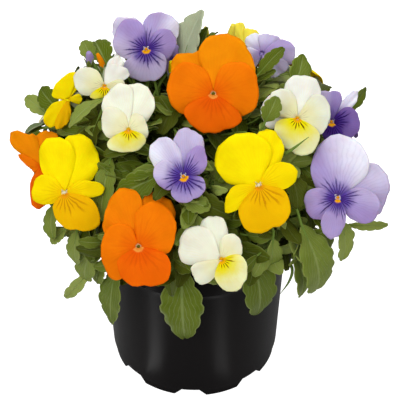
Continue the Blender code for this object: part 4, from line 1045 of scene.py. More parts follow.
# Operators' settings

class VioletSettings(bpy.types.PropertyGroup):
    """Sizes, counts and colours that can be changed"""

    petal_thickness: bpy.props.FloatProperty(
        name="Petal thickness", description="Thickness of a petal", default=0.00045, unit="LENGTH")
    petal_ruffle: bpy.props.FloatProperty(
        name="Ruffle", description="Height of the waves at a petal's edge", default=0.0007, unit="LENGTH")
    leaf_thickness: bpy.props.FloatProperty(
        name="Leaf thickness", description="Thickness of a leaf", default=0.0005, unit="LENGTH")
    canopy_leaves: bpy.props.IntProperty(
        name="Canopy leaves", description="Leaves tried over the outside of the bush", default=1050)
    inner_leaves: bpy.props.IntProperty(
        name="Inner leaves", description="Leaves tried inside the bush", default=620)
    skirt_leaves: bpy.props.IntProperty(
        name="Skirt leaves", description="Leaves tried round the rim of the pot", default=200)
    front_leaves: bpy.props.IntProperty(
        name="Front leaves", description="Small leaves tried on the front of the bush", default=700)
    side_stems: bpy.props.IntProperty(
        name="Side stems", description="Thin stems that carry the leaves", default=90)
    crumbs: bpy.props.IntProperty(
        name="Crumbs", description="Crumbs of potting mix on the soil", default=900)
    pot_colour: bpy.props.FloatVectorProperty(
        name="Pot colour", description="Colour of the pot's plastic", default=srgb(20, 18, 19),
        size=3, subtype="COLOR")
    floor_colour: bpy.props.FloatVectorProperty(
        name="Floor colour", description="Colour of the studio floor", default=(0.52, 0.52, 0.52),
        size=3, subtype="COLOR")
    light: bpy.props.FloatProperty(
        name="Light", description="Strength of the studio light", default=1.0)


def settings():
    return bpy.context.scene.violet


class VIOLET_OT_stage(bpy.types.Operator):
    """Camera, floor and soft studio light"""

    bl_idname = "violet.stage"
    bl_label = "Stage"

    def execute(self, context):
        scene = context.scene
        camera = bpy.data.objects.new("camera", bpy.data.cameras.new("camera"))
        scene.collection.objects.link(camera)
        tilt = math.radians(CAMERA_TILT)
        back = Vector((0.0, -math.cos(tilt), math.sin(tilt)))
        camera.location = CAMERA_AIM + back * CAMERA_DISTANCE
        camera.rotation_euler = back.to_track_quat("Z", "Y").to_euler()
        camera.data.lens = CAMERA_LENS
        camera.data.sensor_width = CAMERA_SENSOR
        camera.data.clip_start = CAMERA_CLIP
        scene.camera = camera
        scene.view_settings.view_transform = "Standard"

        mesh = bpy.data.meshes.new("floor")
        signs = ((-1, -1), (1, -1), (1, 1), (-1, 1))
        corners = [(x * FLOOR_HALF, y * FLOOR_HALF, -FLOOR_DROP) for x, y in signs]
        mesh.from_pydata(corners, [], [(0, 1, 2, 3)])
        floor = bpy.data.objects.new("floor", mesh)
        scene.collection.objects.link(floor)
        material, tree, shader = new_material("floor", {"Roughness": 0.9, "Specular IOR Level": 0.0})
        shader.inputs["Base Color"].default_value = (*settings().floor_colour, 1.0)
        shader.inputs["Emission Color"].default_value = WHITE
        seen = put(tree, "ShaderNodeLightPath").outputs["Is Camera Ray"]
        tree.links.new(seen, shader.inputs["Emission Strength"])
        mesh.materials.append(material)

        world = bpy.data.worlds.new("studio")
        world.use_nodes = True
        background = world.node_tree.nodes["Background"]
        background.inputs["Color"].default_value = WHITE
        path = put(world.node_tree, "ShaderNodeLightPath").outputs
        strength = settings().light
        even = EVEN_LIGHT * strength
        lit = calc(world.node_tree, "MULTIPLY_ADD", path["Is Glossy Ray"], -EVEN_LIGHT_LOST, even)
        seen = calc(world.node_tree, "MAXIMUM", path["Is Camera Ray"], lit)
        world.node_tree.links.new(seen, background.inputs["Strength"])
        scene.world = world
        for name, (place, width, power) in LAMPS.items():
            light = bpy.data.lights.new(name, "AREA")
            light.size = width
            light.energy = power * strength
            lamp = bpy.data.objects.new(name, light)
            lamp.location = place
            lamp.rotation_euler = (Vector(place) - LAMP_AIM).to_track_quat("Z", "Y").to_euler()
            scene.collection.objects.link(lamp)
        for name, (turn, reach, width, length, power) in STRIPS.items():
            light = bpy.data.lights.new(name, "AREA")
            light.shape = "RECTANGLE"
            light.size, light.size_y = width, length
            light.energy = power * strength
            normal = Vector((math.sin(math.radians(turn)), -math.cos(math.radians(turn)), 0.0))
            away = normal * (-2.0 * normal.y) + Vector((0.0, 1.0, 0.0))
            lamp = bpy.data.objects.new(name, light)
            lamp.location = normal * BASE_RADIUS + away * reach + UP * STRIP_HEIGHT
            lamp.rotation_euler = (0.0, math.pi, math.atan2(away.x, -away.y))
            lamp.visible_camera = False
            scene.collection.objects.link(lamp)
        return {"FINISHED"}


class VIOLET_OT_pot(bpy.types.Operator):
    """Nursery pot with a rolled rim, a notched foot and drain holes"""

    bl_idname = "violet.pot"
    bl_label = "Pot"

    def execute(self, context):
        floor = FOOT_HEIGHT + POT_WALL
        foot = BASE_RADIUS - FOOT_SET_BACK
        band = RIM_TOP - RIM_BAND

        def wall(height):
            share = (height - FOOT_HEIGHT) / (RIM_TOP - FOOT_HEIGHT)
            return BASE_RADIUS + (RIM_RADIUS - RIM_STEP - BASE_RADIUS) * share

        # Radius and height from the middle of the floor, up the inside, over the rim, down the outside and
        # under the foot
        profile = (
            (0.0, floor), (wall(floor) - POT_WALL - FLOOR_ROUND, floor),
            (wall(floor) - POT_WALL, floor + FLOOR_ROUND), (wall(RIM_TOP) - POT_WALL, RIM_TOP - RIM_ROUND),
            (wall(RIM_TOP) - POT_WALL + EDGE_ROUND, RIM_TOP - EDGE_ROUND),
            (RIM_RADIUS - RIM_ROUND, RIM_TOP), (RIM_RADIUS - EDGE_ROUND, RIM_TOP - EDGE_ROUND),
            (RIM_RADIUS, RIM_TOP - RIM_ROUND), (RIM_RADIUS, band + EDGE_ROUND),
            (RIM_RADIUS - EDGE_ROUND, band),
            (wall(band) + 0.0006, band - 0.0018), (wall(band) + 0.0001, band - 0.0040),
            (BASE_RADIUS + 0.0002, FOOT_HEIGHT + 0.0022), (BASE_RADIUS - 0.0001, FOOT_HEIGHT + 0.0006),
            (foot + 0.0002, FOOT_HEIGHT), (foot, FOOT_HEIGHT - 0.0005),
            (foot, 0.0005), (foot - 0.0004, 0.0),
            (foot - FOOT_WALL + EDGE_ROUND, 0.0), (foot - FOOT_WALL, 0.0004),
            (foot - FOOT_WALL, FOOT_HEIGHT), (0.0, FOOT_HEIGHT),
        )
        mesh = bpy.data.meshes.new("pot_profile")
        corners = [(radius, 0.0, height) for radius, height in profile]
        mesh.from_pydata(corners, [(i, i + 1) for i in range(len(profile) - 1)], [])
        turned = bpy.data.objects.new("pot_turned", mesh)
        context.scene.collection.objects.link(turned)
        screw = turned.modifiers.new("turn", "SCREW")
        screw.steps = screw.render_steps = POT_SIDES
        screw.use_merge_vertices = True
        screw.merge_threshold = POT_MERGE
        bm = bmesh.new()
        bm.from_mesh(finished_mesh(turned))
        bmesh.ops.remove_doubles(bm, verts=bm.verts[:], dist=POT_MERGE)
        bmesh.ops.recalc_face_normals(bm, faces=bm.faces[:])
        shell = bpy.data.meshes.new("pot_shell")
        bm.to_mesh(shell)
        bm.free()

        bm = bmesh.new()
        for index in range(NOTCHES):
            made = bmesh.ops.create_cube(bm, size=2.0)["verts"]
            taper = NOTCH_TOP_WIDTH / NOTCH_FOOT_WIDTH
            for vert in made:
                vert.co.x *= NOTCH_FOOT_WIDTH / 2.0 * (taper if vert.co.z > 0.0 else 2.0 - taper)
                vert.co.y = vert.co.y * FOOT_WALL * 1.5 - foot + FOOT_WALL / 2.0
                vert.co.z *= NOTCH_HEIGHT
            turn = Matrix.Rotation(math.radians(NOTCH_TURN + 360.0 / NOTCHES * index), 3, "Z")
            bmesh.ops.rotate(bm, verts=made, cent=(0.0, 0.0, 0.0), matrix=turn)
        for index in range(DRAIN_HOLES):
            angle = math.radians(DRAIN_TURN + 360.0 / DRAIN_HOLES * index)
            place = Vector((math.cos(angle), math.sin(angle), 0.0)) * DRAIN_RING + UP * floor
            bmesh.ops.create_cone(
                bm, cap_ends=True, segments=DRAIN_SIDES, radius1=DRAIN_RADIUS, radius2=DRAIN_RADIUS,
                depth=4.0 * POT_WALL, matrix=Matrix.Translation(place))
        holes = bpy.data.meshes.new("pot_holes")
        bm.to_mesh(holes)
        bm.free()
        cutter = bpy.data.objects.new("pot_cutter", holes)
        context.scene.collection.objects.link(cutter)
        body = bpy.data.objects.new("pot_body", shell)
        context.scene.collection.objects.link(body)
        cut = body.modifiers.new("notches and drain holes", "BOOLEAN")
        cut.operation = "DIFFERENCE"
        cut.object = cutter
        mesh = finished_mesh(body)
        bpy.data.objects.remove(cutter, do_unlink=True)
        mesh.shade_smooth()
        mesh.set_sharp_from_angle(angle=math.radians(POT_SHARP_ANGLE))

        material, tree, shader = new_material("pot_plastic", {"Specular IOR Level": 0.045})
        drag = object_noise(tree, 60.0, 3.0, (1.0, 1.0, 0.12))
        grain = object_noise(tree, 2600.0, 2.0)
        rough = calc(tree, "MULTIPLY_ADD", drag, 0.12, 0.22)
        tree.links.new(calc(tree, "MULTIPLY_ADD", grain, 0.05, rough), shader.inputs["Roughness"])
        dusty = calc(tree, "MULTIPLY", drag, 0.02)
        colour = blend(tree, dusty, (*settings().pot_colour, 1.0), (*POT_DUST, 1.0))
        tree.links.new(colour, shader.inputs["Base Color"])
        relief(tree, shader, grain, 0.0001, 0.35)
        mesh.materials.clear()
        add_piece("nursery_pot", mesh, [material], "pot_plastic", ["pot"])
        return {"FINISHED"}


class VIOLET_OT_soil(bpy.types.Operator):
    """Potting mix: the solid's finish, and crumbs scattered over its top"""

    bl_idname = "violet.soil"
    bl_label = "Soil"

    def execute(self, context):
        material, tree, shader = new_material("potting_mix", {"Roughness": 0.95})
        clods = object_noise(tree, 240.0, 6.0)
        colour = blend(tree, clods, *((*shade, 1.0) for shade in SOIL_COLOURS))
        tree.links.new(colour, shader.inputs["Base Color"])
        relief(tree, shader, clods, 0.002)
        soil = frame["nodes"]["soil"]
        soil.data.materials.clear()
        soil.data.materials.append(material)

        # The soil's top as a flat disc, and one crumb, which the nodes scatter over it
        angles = [a * 2.0 * math.pi / SOIL_SIDES for a in range(SOIL_SIDES)]
        ring = [(SOIL_RADIUS * math.cos(angle), SOIL_RADIUS * math.sin(angle), SOIL_TOP) for angle in angles]
        disc = bpy.data.meshes.new("soil_top")
        disc.from_pydata(ring, [], [tuple(range(SOIL_SIDES))])
        bm = bmesh.new()
        bmesh.ops.create_icosphere(bm, subdivisions=1, radius=1.0)
        draw = random.Random(CRUMB_SEED)
        for vert in bm.verts:
            vert.co *= draw.uniform(*CRUMB_BUMPS)
        crumb = bpy.data.meshes.new("crumb")
        bm.to_mesh(crumb)
        bm.free()
        crumb_object = bpy.data.objects.new("crumb", crumb)
        context.scene.collection.objects.link(crumb_object)

        nodes = bpy.data.node_groups.new("scattered_crumbs", "GeometryNodeTree")
        for label, kind in (("Geometry", "NodeSocketGeometry"), ("Crumb", "NodeSocketObject"),
                            ("Count per area", FLOAT), ("Size", FLOAT), ("Material", "NodeSocketMaterial")):
            nodes.interface.new_socket(name=label, in_out="INPUT", socket_type=kind)
        nodes.interface.new_socket(name="Geometry", in_out="OUTPUT", socket_type="NodeSocketGeometry")
        source = nodes.nodes.new("NodeGroupInput").outputs
        spread = put(nodes, "GeometryNodeDistributePointsOnFaces",
                     {"Mesh": source["Geometry"], "Density": source["Count per area"], "Seed": 4})
        crumb_info = put(nodes, "GeometryNodeObjectInfo", {"Object": source["Crumb"]})
        turn = put(nodes, "FunctionNodeRandomValue",
                   {"Min": (0.0, 0.0, 0.0), "Max": CRUMB_TURN, "Seed": 2}, data_type="FLOAT_VECTOR")
        size = put(nodes, "FunctionNodeRandomValue",
                   {"Min": CRUMB_LEAST, "Max": CRUMB_MOST, "Seed": 3}, data_type="FLOAT_VECTOR")
        scaled = put(nodes, "ShaderNodeVectorMath", {0: size.outputs[0]}, operation="SCALE")
        nodes.links.new(source["Size"], scaled.inputs["Scale"])
        carried = put(nodes, "GeometryNodeInstanceOnPoints", {
            "Points": spread.outputs["Points"], "Instance": crumb_info.outputs["Geometry"],
            "Rotation": turn.outputs[0], "Scale": scaled.outputs[0]})
        real = put(nodes, "GeometryNodeRealizeInstances", {"Geometry": carried.outputs[0]})
        painted = put(nodes, "GeometryNodeSetMaterial",
                      {"Geometry": real.outputs[0], "Material": source["Material"]})
        nodes.links.new(painted.outputs[0], nodes.nodes.new("NodeGroupOutput").inputs[0])

        top = bpy.data.objects.new("soil_crumbs_base", disc)
        context.scene.collection.objects.link(top)
        scatter = top.modifiers.new("crumbs", "NODES")
        scatter.node_group = nodes
        area = math.pi * SOIL_RADIUS ** 2
        values = {"Crumb": crumb_object, "Count per area": settings().crumbs / area, "Size": CRUMB_SIZE,
                  "Material": material}
        for label, value in values.items():
            scatter[socket_identifier(nodes, label)] = value
        mesh = finished_mesh(top)
        bpy.data.objects.remove(crumb_object, do_unlink=True)
        mesh.materials.clear()
        add_piece("soil_crumbs", mesh, [material], "soil")
        return {"FINISHED"}


def socket_identifier(tree, label):
    return next(item.identifier for item in tree.interface.items_tree
                if item.item_type == "SOCKET" and item.in_out == "INPUT" and item.name == label)


# Blooms

def petals_of(name, bloom):
    """From, to, lengths across, lift and tilt of the five petals."""
    *_, cup, reach = bloom
    upper, side, lip = reach
    read = FRONT_PETALS.get(name)
    petals = []
    for index, plain in enumerate(PLAIN_PETALS):
        start, end, lengths = read[index] if read else plain
        size = 1.0 if read else (upper, upper, side, side, lip)[index]
        lift, tilt = PETAL_LIFTS[index]
        petals.append((start, end, [length * size * MM for length in lengths], lift, tilt + cup))
    return petals


def smooth_between(values, place):
    """Values at places from 0 to the last index, on a smooth curve through the given ones."""
    values = np.asarray(values, float)
    padded = np.concatenate(([2.0 * values[0] - values[1]], values, [2.0 * values[-1] - values[-2]]))
    place = np.clip(place, 0.0, len(values) - 1.0)
    index = np.minimum(place.astype(int), len(values) - 2)
    t = place - index
    before, here, following, after = (padded[index + step] for step in range(4))
    cubic = 3.0 * (here - following) + after - before
    square = 2.0 * before - 5.0 * here + 4.0 * following - after + t * cubic
    return here + 0.5 * t * (following - before + t * square)


def add_petal(parts, matrix, kind, petal, draw, whiteness, pattern, upper):
    """One petal as a thin body with a waved edge and, on the lip, a notch."""
    start, end, lengths, lift, tilt = petal
    length = max(lengths)
    s = np.linspace(0.0, 1.0, PETAL_ROWS) ** 0.85
    f = np.sin(np.linspace(-1.0, 1.0, PETAL_COLUMNS) * math.pi / 2.0) * 0.99
    s, f = np.meshgrid(s, f, indexing="ij")
    phase = draw.uniform(0.0, 2.0 * math.pi)
    waves = draw.uniform(*RUFFLE_WAVES)

    # Outline, with small waves all along it
    outline = 1.0 + 0.014 * np.sin(f * 8.0 + phase) + 0.010 * np.sin(f * 19.0 + phase * 2.0)
    edge = smooth_between(lengths, (f + 0.8) / 0.4) * (1.0 - np.abs(f) ** 10) ** 0.5 * outline
    if kind == LIP_PETAL:
        edge = edge * (1.0 - LIP_NOTCH * np.exp(-((f / LIP_NOTCH_WIDTH) ** 2)))
    radius = PETAL_START + s * np.maximum(edge - PETAL_START, 0.0)
    angle = np.radians((start + end + f * (end - start)) / 2.0)

    # Depth: tilt and bow, the ruffled edge, the tip and sides that bend back, and the dip at the eye
    depth = lift + radius * math.tan(math.radians(tilt)) - 0.10 * radius ** 2 / length
    ruffle = settings().petal_ruffle * (length / 0.02)
    depth = depth + ruffle * s ** 3 * np.sin(f * waves * math.pi + phase)
    depth = depth - 0.0006 * s ** 4
    depth = depth - 0.0015 * np.abs(f) ** 4 * s * (1.0 - 0.5 * s)
    depth = depth - (EYE_DIP + lift * 0.6) * np.exp(-((radius / EYE_DIP_RADIUS) ** 2))
    grid = placed(np.stack((radius * np.cos(angle), radius * np.sin(angle), depth), axis=-1), matrix)
    shape = np.ones_like(s)
    pale = whiteness[0] + (whiteness[1] - whiteness[0]) * np.clip(f * 1.8 + 0.5, 0.0, 1.0)
    parts.add_sheet(
        grid, settings().petal_thickness, along=s, across=f, radius=radius / MM / pattern,
        lip=shape * (kind == LIP_PETAL), upper=shape * upper * (kind < UPPER_PETALS), pale=pale,
        tone=shape * draw.random())


def add_throat(parts, matrix, draw, bearded):
    """The funnel behind the eye, the stigma in it and the bearded pads of the side petals."""
    s, a = np.meshgrid(np.linspace(0.12, 1.0, 5), np.linspace(0.0, 2.0 * math.pi, 25), indexing="ij")
    radius = THROAT_RADIUS * s
    depth = THROAT_HEIGHTS[0] + (THROAT_HEIGHTS[1] - THROAT_HEIGHTS[0]) * s ** 1.5
    grid = placed(np.stack((radius * np.cos(a), radius * np.sin(a), depth), axis=-1), matrix)
    parts.add_sheet(grid, 0.0004, slots=(2, 1), radius=radius / MM)
    for sign in (-1.0, 1.0) if bearded else ():
        for _ in range(BEARD_HAIRS):
            root = Vector((sign * draw.uniform(0.0008, 0.0016), draw.uniform(0.0007, 0.0017), -0.0008))
            tip = root + Vector((-sign * draw.uniform(0.0001, 0.0005), draw.uniform(-0.0004, 0.0001), 0.0008))
            points = (matrix @ root, matrix @ root.lerp(tip, 0.5), matrix @ tip)
            parts.add_tube(points, (0.00014, 0.00016, 0.00008), 4, 4)
    stigma = [matrix @ Vector((0.0, 0.0001, z)) for z in (-0.0042, -0.0026, -0.0014, -0.0008, -0.0004)]
    parts.add_tube(stigma, (0.0003, 0.0005, 0.0008, 0.0009, 0.0005), 10, 3)


def add_spur(parts, matrix):
    """The nectar spur behind the lip."""
    points = [matrix @ Vector((0.0, 0.0, -0.0012)).lerp(SPUR_TIP, t) for t in (0.0, 0.3, 0.6, 0.85, 1.0)]
    radii = (0.0014, 0.0012, 0.0010, 0.0009, 0.0004)
    parts.add_tube(points, radii, 8, 1, along=0.8)


def plain_finish(name, colour, roughness=0.6):
    """A small part's finish: one colour with a soft change over the surface."""
    found = bpy.data.materials.get(name)
    if found:
        return found
    material, tree, shader = new_material(name, {"Roughness": roughness, "Specular IOR Level": 0.1})
    change = object_noise(tree, 900.0)
    darker = tuple(value * 0.75 for value in colour)
    tree.links.new(blend(tree, change, (*darker, 1.0), (*colour, 1.0)), shader.inputs["Base Color"])
    relief(tree, shader, change, 0.0002, 0.4)
    return material


class VIOLET_OT_blooms(bpy.types.Operator):
    """Corollas: five thin petals, throat, stigma, beard and spur"""

    bl_idname = "violet.blooms"
    bl_label = "Blooms"

    def execute(self, context):
        for number, (name, bloom) in enumerate(BLOOMS.items()):
            colour, _, eye, yaw, pitch, roll, *_ = bloom
            matrix = face_matrix(eye, yaw, pitch, roll)
            draw = random.Random(BLOOM_SEED + number)
            parts = Parts()
            whiteness = PALE_PETALS.get(name, ((0.0, 0.0),) * len(PLAIN_PETALS))
            for kind, petal in enumerate(petals_of(name, bloom)):
                add_petal(parts, matrix, kind, petal, draw, whiteness[kind], SMALL_PATTERNS.get(name, 1.0),
                          PLAIN_UPPERS.get(name, 1.0))
            finish = {**PLAIN_FINISH, **PETAL_FINISHES[colour]}
            if name not in SMALL_PATTERNS:
                add_throat(parts, matrix, draw, finish["beard"])
            add_spur(parts, matrix)
            materials = [
                petal_material(colour), petal_material(colour, back=True),
                plain_finish(f"throat_{colour}", tuple(value * 0.8 for value in finish["eye"])),
                plain_finish(f"stigma_{colour}", finish["stigma"], 0.5),
                plain_finish(f"beard_{colour}", finish["halo"]),
            ]
            mesh = parts.mesh("corolla_" + name)
            add_piece("corolla_" + name, mesh, materials, colour, ["bloom_" + name])
        return {"FINISHED"}


# Shoots

# Size of the leaves that fill the bush, as a share of the solid ones
FILL_SCALE = 0.84

# How much of its half width a leaf's margin is raised by
LEAF_FOLD = 0.12

# How far the further leaves may pass the solids' box
BOX_MARGIN = 0.004

# Outline that the further leaves keep to: half widths, rise over the dome's middle, the share of the half
# widths left at the rim, and the lowest height in front of the pot, which rises with the distance to its wall
BUSH_HALF_WIDTHS = np.array((0.087, 0.098))
BUSH_RISE = 0.070
BUSH_WAIST = 0.72
FRONT_HALF = 0.047
FRONT_LOWEST = 0.0885
FRONT_SLOPE = 0.92


def outside_bush(points):
    """Whether any of the points passes the bush's outline."""
    over = points[:, 2] - DOME_MIDDLE.z
    waist = np.clip(1.0 + over / (DOME_MIDDLE.z - RIM_TOP) * (1.0 - BUSH_WAIST), BUSH_WAIST, 1.0)
    spread = np.hypot(*(points[:, :2] / BUSH_HALF_WIDTHS).T) / waist
    return (np.hypot(spread, np.maximum(over, 0.0) / BUSH_RISE) > 1.0).any()


def leaf_grid(foot, frame_of, length, width, arch, rows, columns, teeth, draw,
              fold=LEAF_FOLD, blunt=PLAIN_LEAF_END):
    """Grid of a leaf's blade, and its along and across values."""
    along, across, face = (np.array(axis) for axis in frame_of)
    t = np.linspace(0.0, 0.985, rows)
    c = np.linspace(-1.0, 1.0, columns)
    tooth = np.abs(np.sin(math.pi * teeth * t ** 0.9 * 0.5))
    round_end = np.sqrt(np.clip(1.0 - ((t - 0.6) / 0.4) ** 2, 0.0, 1.0))
    share = np.maximum(blade_width(t), 0.0)
    half = width / 2.0 * np.where(t > 0.6, share + abs(blunt) * (round_end - share), share)
    half *= 1.0 + min(blunt, 0.0) * np.clip((t - 0.3) / 0.7, 0.0, 1.0)
    half = np.maximum(half * (1.0 - 0.22 * (1.0 - tooth) ** 2), 0.0007 * (1.0 - t) + 0.0002)
    t, c = np.meshgrid(t, c, indexing="ij")
    half = half[:, None] * np.ones_like(c)
    wave = draw.uniform(0.0, 2.0 * math.pi)
    height = length * arch * 4.0 * t * (1.0 - t) + fold * half * np.abs(c) ** 1.4
    height = height + 0.035 * width * np.sin(t * 9.0 + wave + np.sign(c) * 0.8) * c ** 2
    height = height - 0.0004 * np.exp(-((c / 0.13) ** 2))
    base = np.array(foot)
    grid = base + along * (length * t)[..., None] + across * (c * half)[..., None] + face * height[..., None]
    return grid, t, c


def add_leaf(parts, root, foot, tip, width, arch, roll, draw, teeth, tone, turned, blunt, petals):
    """A leaf in full: a scalloped blade, shortened where it meets a petal, and its stalk and midrib."""
    frame_of = leaf_frame(foot, tip, roll)
    along, _, face = frame_of
    length = (tip - foot).length
    for _ in range(LEAF_SHORTENINGS):
        grid, t, c = leaf_grid(
            foot, frame_of, length, width, arch, LEAF_ROWS, LEAF_COLUMNS, teeth, draw, blunt=blunt)
        if not touches(grid, petals):
            break
        length *= LEAF_SHORTER
    slots = (1, 0) if turned else (0, 1)
    parts.add_sheet(grid, settings().leaf_thickness, slots, along=t, across=c, tone=np.full_like(t, tone))
    bend = foot - along * (foot - root).length * 0.45
    path = [curve_point((root, bend, foot), s) for s in (0.0, 0.2, 0.4, 0.6, 0.8, 0.97)]
    for s in (0.12, 0.3, 0.55):
        path.append(foot + along * length * s + face * (length * arch * 4.0 * s * (1.0 - s) - 0.0005))
    radii = (0.0010, 0.0008, 0.00075, 0.0007, 0.0007, 0.0007, 0.0006, 0.0005, 0.0002)
    parts.add_tube(path, radii, 6, 2, tone=tone)


def add_calyx(parts, matrix, draw):
    """Five pointed sepals round a small cup, each with its short lobe behind."""
    for index in range(SEPALS):
        angle = math.radians(90.0 + 360.0 / SEPALS * index + draw.uniform(-6.0, 6.0))
        out = np.array((math.cos(angle), math.sin(angle), 0.0))
        side = np.array((-math.sin(angle), math.cos(angle), 0.0))
        t, c = np.meshgrid(np.linspace(0.0, 1.0, 9), np.linspace(-1.0, 1.0, 5), indexing="ij")
        half = 0.0014 * np.sin(math.pi * (0.20 + 0.78 * t)) ** 0.9 + 0.0001
        reach = 0.0006 + (SEPAL_REACH - 0.0006) * t
        depth = -0.0006 - (SEPAL_DROP - 0.0006) * t ** 1.3 + 0.0002 * c ** 2
        grid = np.array(SEAT) + out * reach[..., None] + side * (c * half)[..., None]
        grid = placed(grid + np.array(UP) * depth[..., None], matrix)
        parts.add_sheet(
            grid, SEPAL_THICKNESS, slots=(1, 0), along=t, across=c, tone=np.full_like(t, 0.7))
        lobe = [matrix @ (SEAT + Vector(out) * 0.0012 * k - UP * (0.0012 + 0.0011 * k))
                for k in (0.6, 1.2, 1.7)]
        parts.add_tube(lobe, (0.0008, 0.0006, 0.0002), 5, 2)
    cup = [matrix @ (SEAT - UP * z) for z in (0.0002, 0.0010, 0.0022, 0.0034)]
    parts.add_tube(cup, (0.0014, 0.0018, 0.0015, 0.0009), 10, 2)


class VIOLET_OT_shoots(bpy.types.Operator):
    """Leafy shoots: stems, flower stalks, calyces and leaves"""

    bl_idname = "violet.shoots"
    bl_label = "Shoots"

    def execute(self, context):
        leaves = solid_leaves()
        petals = corolla_trees()
        counts = {shoot: 0 for shoot in SHOOTS}
        parts_of = {shoot: Parts() for shoot in SHOOTS}
        for number, shoot in enumerate(SHOOTS):
            ends = stem_curve(shoot)
            points = [ends[0] - UP * STEM_SINK, ends[0] - UP * STEM_UPRIGHT]
            points += curve_points(ends, 13)
            radii = [STEM_RADIUS, STEM_RADIUS] + [STEM_RADIUS - 0.0008 * (t / 12.0) ** 1.5 for t in range(13)]
            parts_of[shoot].add_tube(points, radii, 10, 2)
            draw = random.Random(SHOOT_SEED + number)
            for name, foot, tip, width, arch, roll in leaves[shoot]:
                teeth = 2 * LEAVES[name][-1] + 3 if name in LEAVES else FILL_TEETH
                tone = LEAF_TONES.get(name, draw.uniform(*FILL_TONES))
                width *= LEAF_WIDTHS.get(name, 1.0)
                move = Vector(LEAF_MOVES.get(name, (0, 0, 0))) * MM
                foot, tip = foot + move, tip + move
                if name not in LEAVES:
                    tip, width = foot.lerp(tip, FILL_SCALE), width * FILL_SCALE
                    while outside_bush(np.array([tip])) and (tip - foot).length > 0.012:
                        tip = foot.lerp(tip, 0.94)
                add_leaf(
                    parts_of[shoot], leaf_root(shoot, foot), foot, tip, width, arch, roll, draw, teeth, tone,
                    name in TURNED_LEAVES, LEAF_ENDS.get(name, PLAIN_LEAF_END), petals)
            for home, foot, tip, width, roll, tone in SMALL_LEAVES.values():
                if home == shoot:
                    foot, tip = Vector(foot) * MM, Vector(tip) * MM
                    add_leaf(
                        parts_of[shoot], leaf_root(shoot, foot), foot, tip, width * MM, SMALL_LEAF_ARCH, roll,
                        draw, FILL_TEETH, tone, False, PLAIN_LEAF_END, petals)
        for number, (name, bloom) in enumerate(BLOOMS.items()):
            _, shoot, eye, yaw, pitch, roll, *_ = bloom
            matrix = face_matrix(eye, yaw, pitch, roll)
            draw = random.Random(CALYX_SEED + number)
            ends = stalk_curve(matrix, shoot, STALK_HEIGHTS[counts[shoot]])
            counts[shoot] += 1
            parts_of[shoot].add_tube(curve_points(ends, 15), [STALK_RADIUS] * 15, 8, 2)
            add_calyx(parts_of[shoot], matrix, draw)
        for shoot, parts in parts_of.items():
            add_piece("leafy_shoot_" + shoot, parts.mesh("leafy_shoot_" + shoot),
                      [*leaf_materials(), stem_material()], "foliage", ["shoot_" + shoot])
        return {"FINISHED"}


class VIOLET_OT_buds(bpy.types.Operator):
    """Rolled buds in their sepals, and thin blades and curling stems"""

    bl_idname = "violet.buds"
    bl_label = "Buds"

    def execute(self, context):
        for number, (name, (colour, shoot, base, tip, radius)) in enumerate(BUDS.items()):
            draw = random.Random(BUD_SEED + number)
            base, tip, radius = Vector(base) * MM, Vector(tip) * MM, radius * MM
            along = (tip - base).normalized()
            side = along.orthogonal().normalized()
            parts = Parts()
            steps = np.linspace(0.0, 1.0, 11)
            path = [base.lerp(tip, t) + side * 0.0006 * math.sin(t * 3.0) for t in steps]
            rings = [radius * (0.35 + 0.65 * math.sin(math.pi * (0.12 + 0.80 * t))) for t in steps]
            parts.add_tube(path, rings, 14, 0, along=0.7)
            for index in range(SEPALS):
                angle = math.radians(360.0 / SEPALS * index + draw.uniform(-8.0, 8.0))
                out = Matrix.Rotation(angle, 3, along) @ side
                across = along.cross(out)
                t, c = np.meshgrid(np.linspace(0.0, 1.0, 7), np.linspace(-1.0, 1.0, 5), indexing="ij")
                half = 0.0011 * np.sin(math.pi * (0.25 + 0.73 * t)) + 0.0001
                lean = radius * 0.75 + 0.0010 * t ** 2 - 0.00015 * c ** 2
                grid = np.array(base - along * 0.0012) + np.array(along) * (t * 0.0058)[..., None]
                grid = grid + np.array(out) * lean[..., None] + np.array(across) * (c * half)[..., None]
                parts.add_sheet(
                    grid, SEPAL_THICKNESS, slots=(2, 1), along=t, across=c, tone=np.full_like(t, 0.5))
            start = base - along * 0.0012
            cup = (start - along * 0.0010, start + along * 0.0016)
            parts.add_tube(cup, (0.0012, radius * 0.8), 10, 3)
            end = curve_point(stem_curve(shoot), 0.85)
            span = (end - start).length
            bend = start - along * span * 0.45 + UP * span * 0.05
            parts.add_tube(curve_points((start, bend, end), 11), [0.0008] * 11, 8, 3)
            materials = [petal_material(colour, back=True), *leaf_materials(), stem_material()]
            add_piece(name, parts.mesh(name), materials, "foliage")
        for name, (shoot, marks, half) in BLADES.items():
            marks = np.array(marks, float) * MM
            places = np.linspace(0.0, len(marks) - 1.0, BLADE_STEPS)
            path = np.stack([smooth_between(marks[:, axis], places) for axis in range(3)], axis=-1)
            widths = [half * MM * (0.65 + 0.35 * math.sin(math.pi * t)) * (1.0 - 0.85 * t ** 4)
                      for t in np.linspace(0.0, 1.0, BLADE_STEPS)]
            parts = Parts()
            parts.add_tube(path, widths, 8, 0)
            foot = Vector(path[0])
            root = min((curve_point(stem_curve(shoot), t / 20.0) for t in range(6, 21)),
                       key=lambda point: (point - foot).length)
            parts.add_tube((root, root.lerp(foot, 0.5), path[0]), [widths[0]] * 3, 8, 0)
            add_piece(name, parts.mesh(name), [stem_material()], "foliage")
        return {"FINISHED"}


# More foliage

# Leaf shapes that repeat, one unit long: teeth, fold and arch; and their width and thickness
LEAF_SHAPES = ((7, 0.10, 0.10), (7, 0.30, 0.05), (5, 0.18, 0.16), (7, 0.05, -0.06), (5, 0.55, 0.08))
SHAPE_WIDTH = 0.52
SHAPE_THICKNESS = 0.022


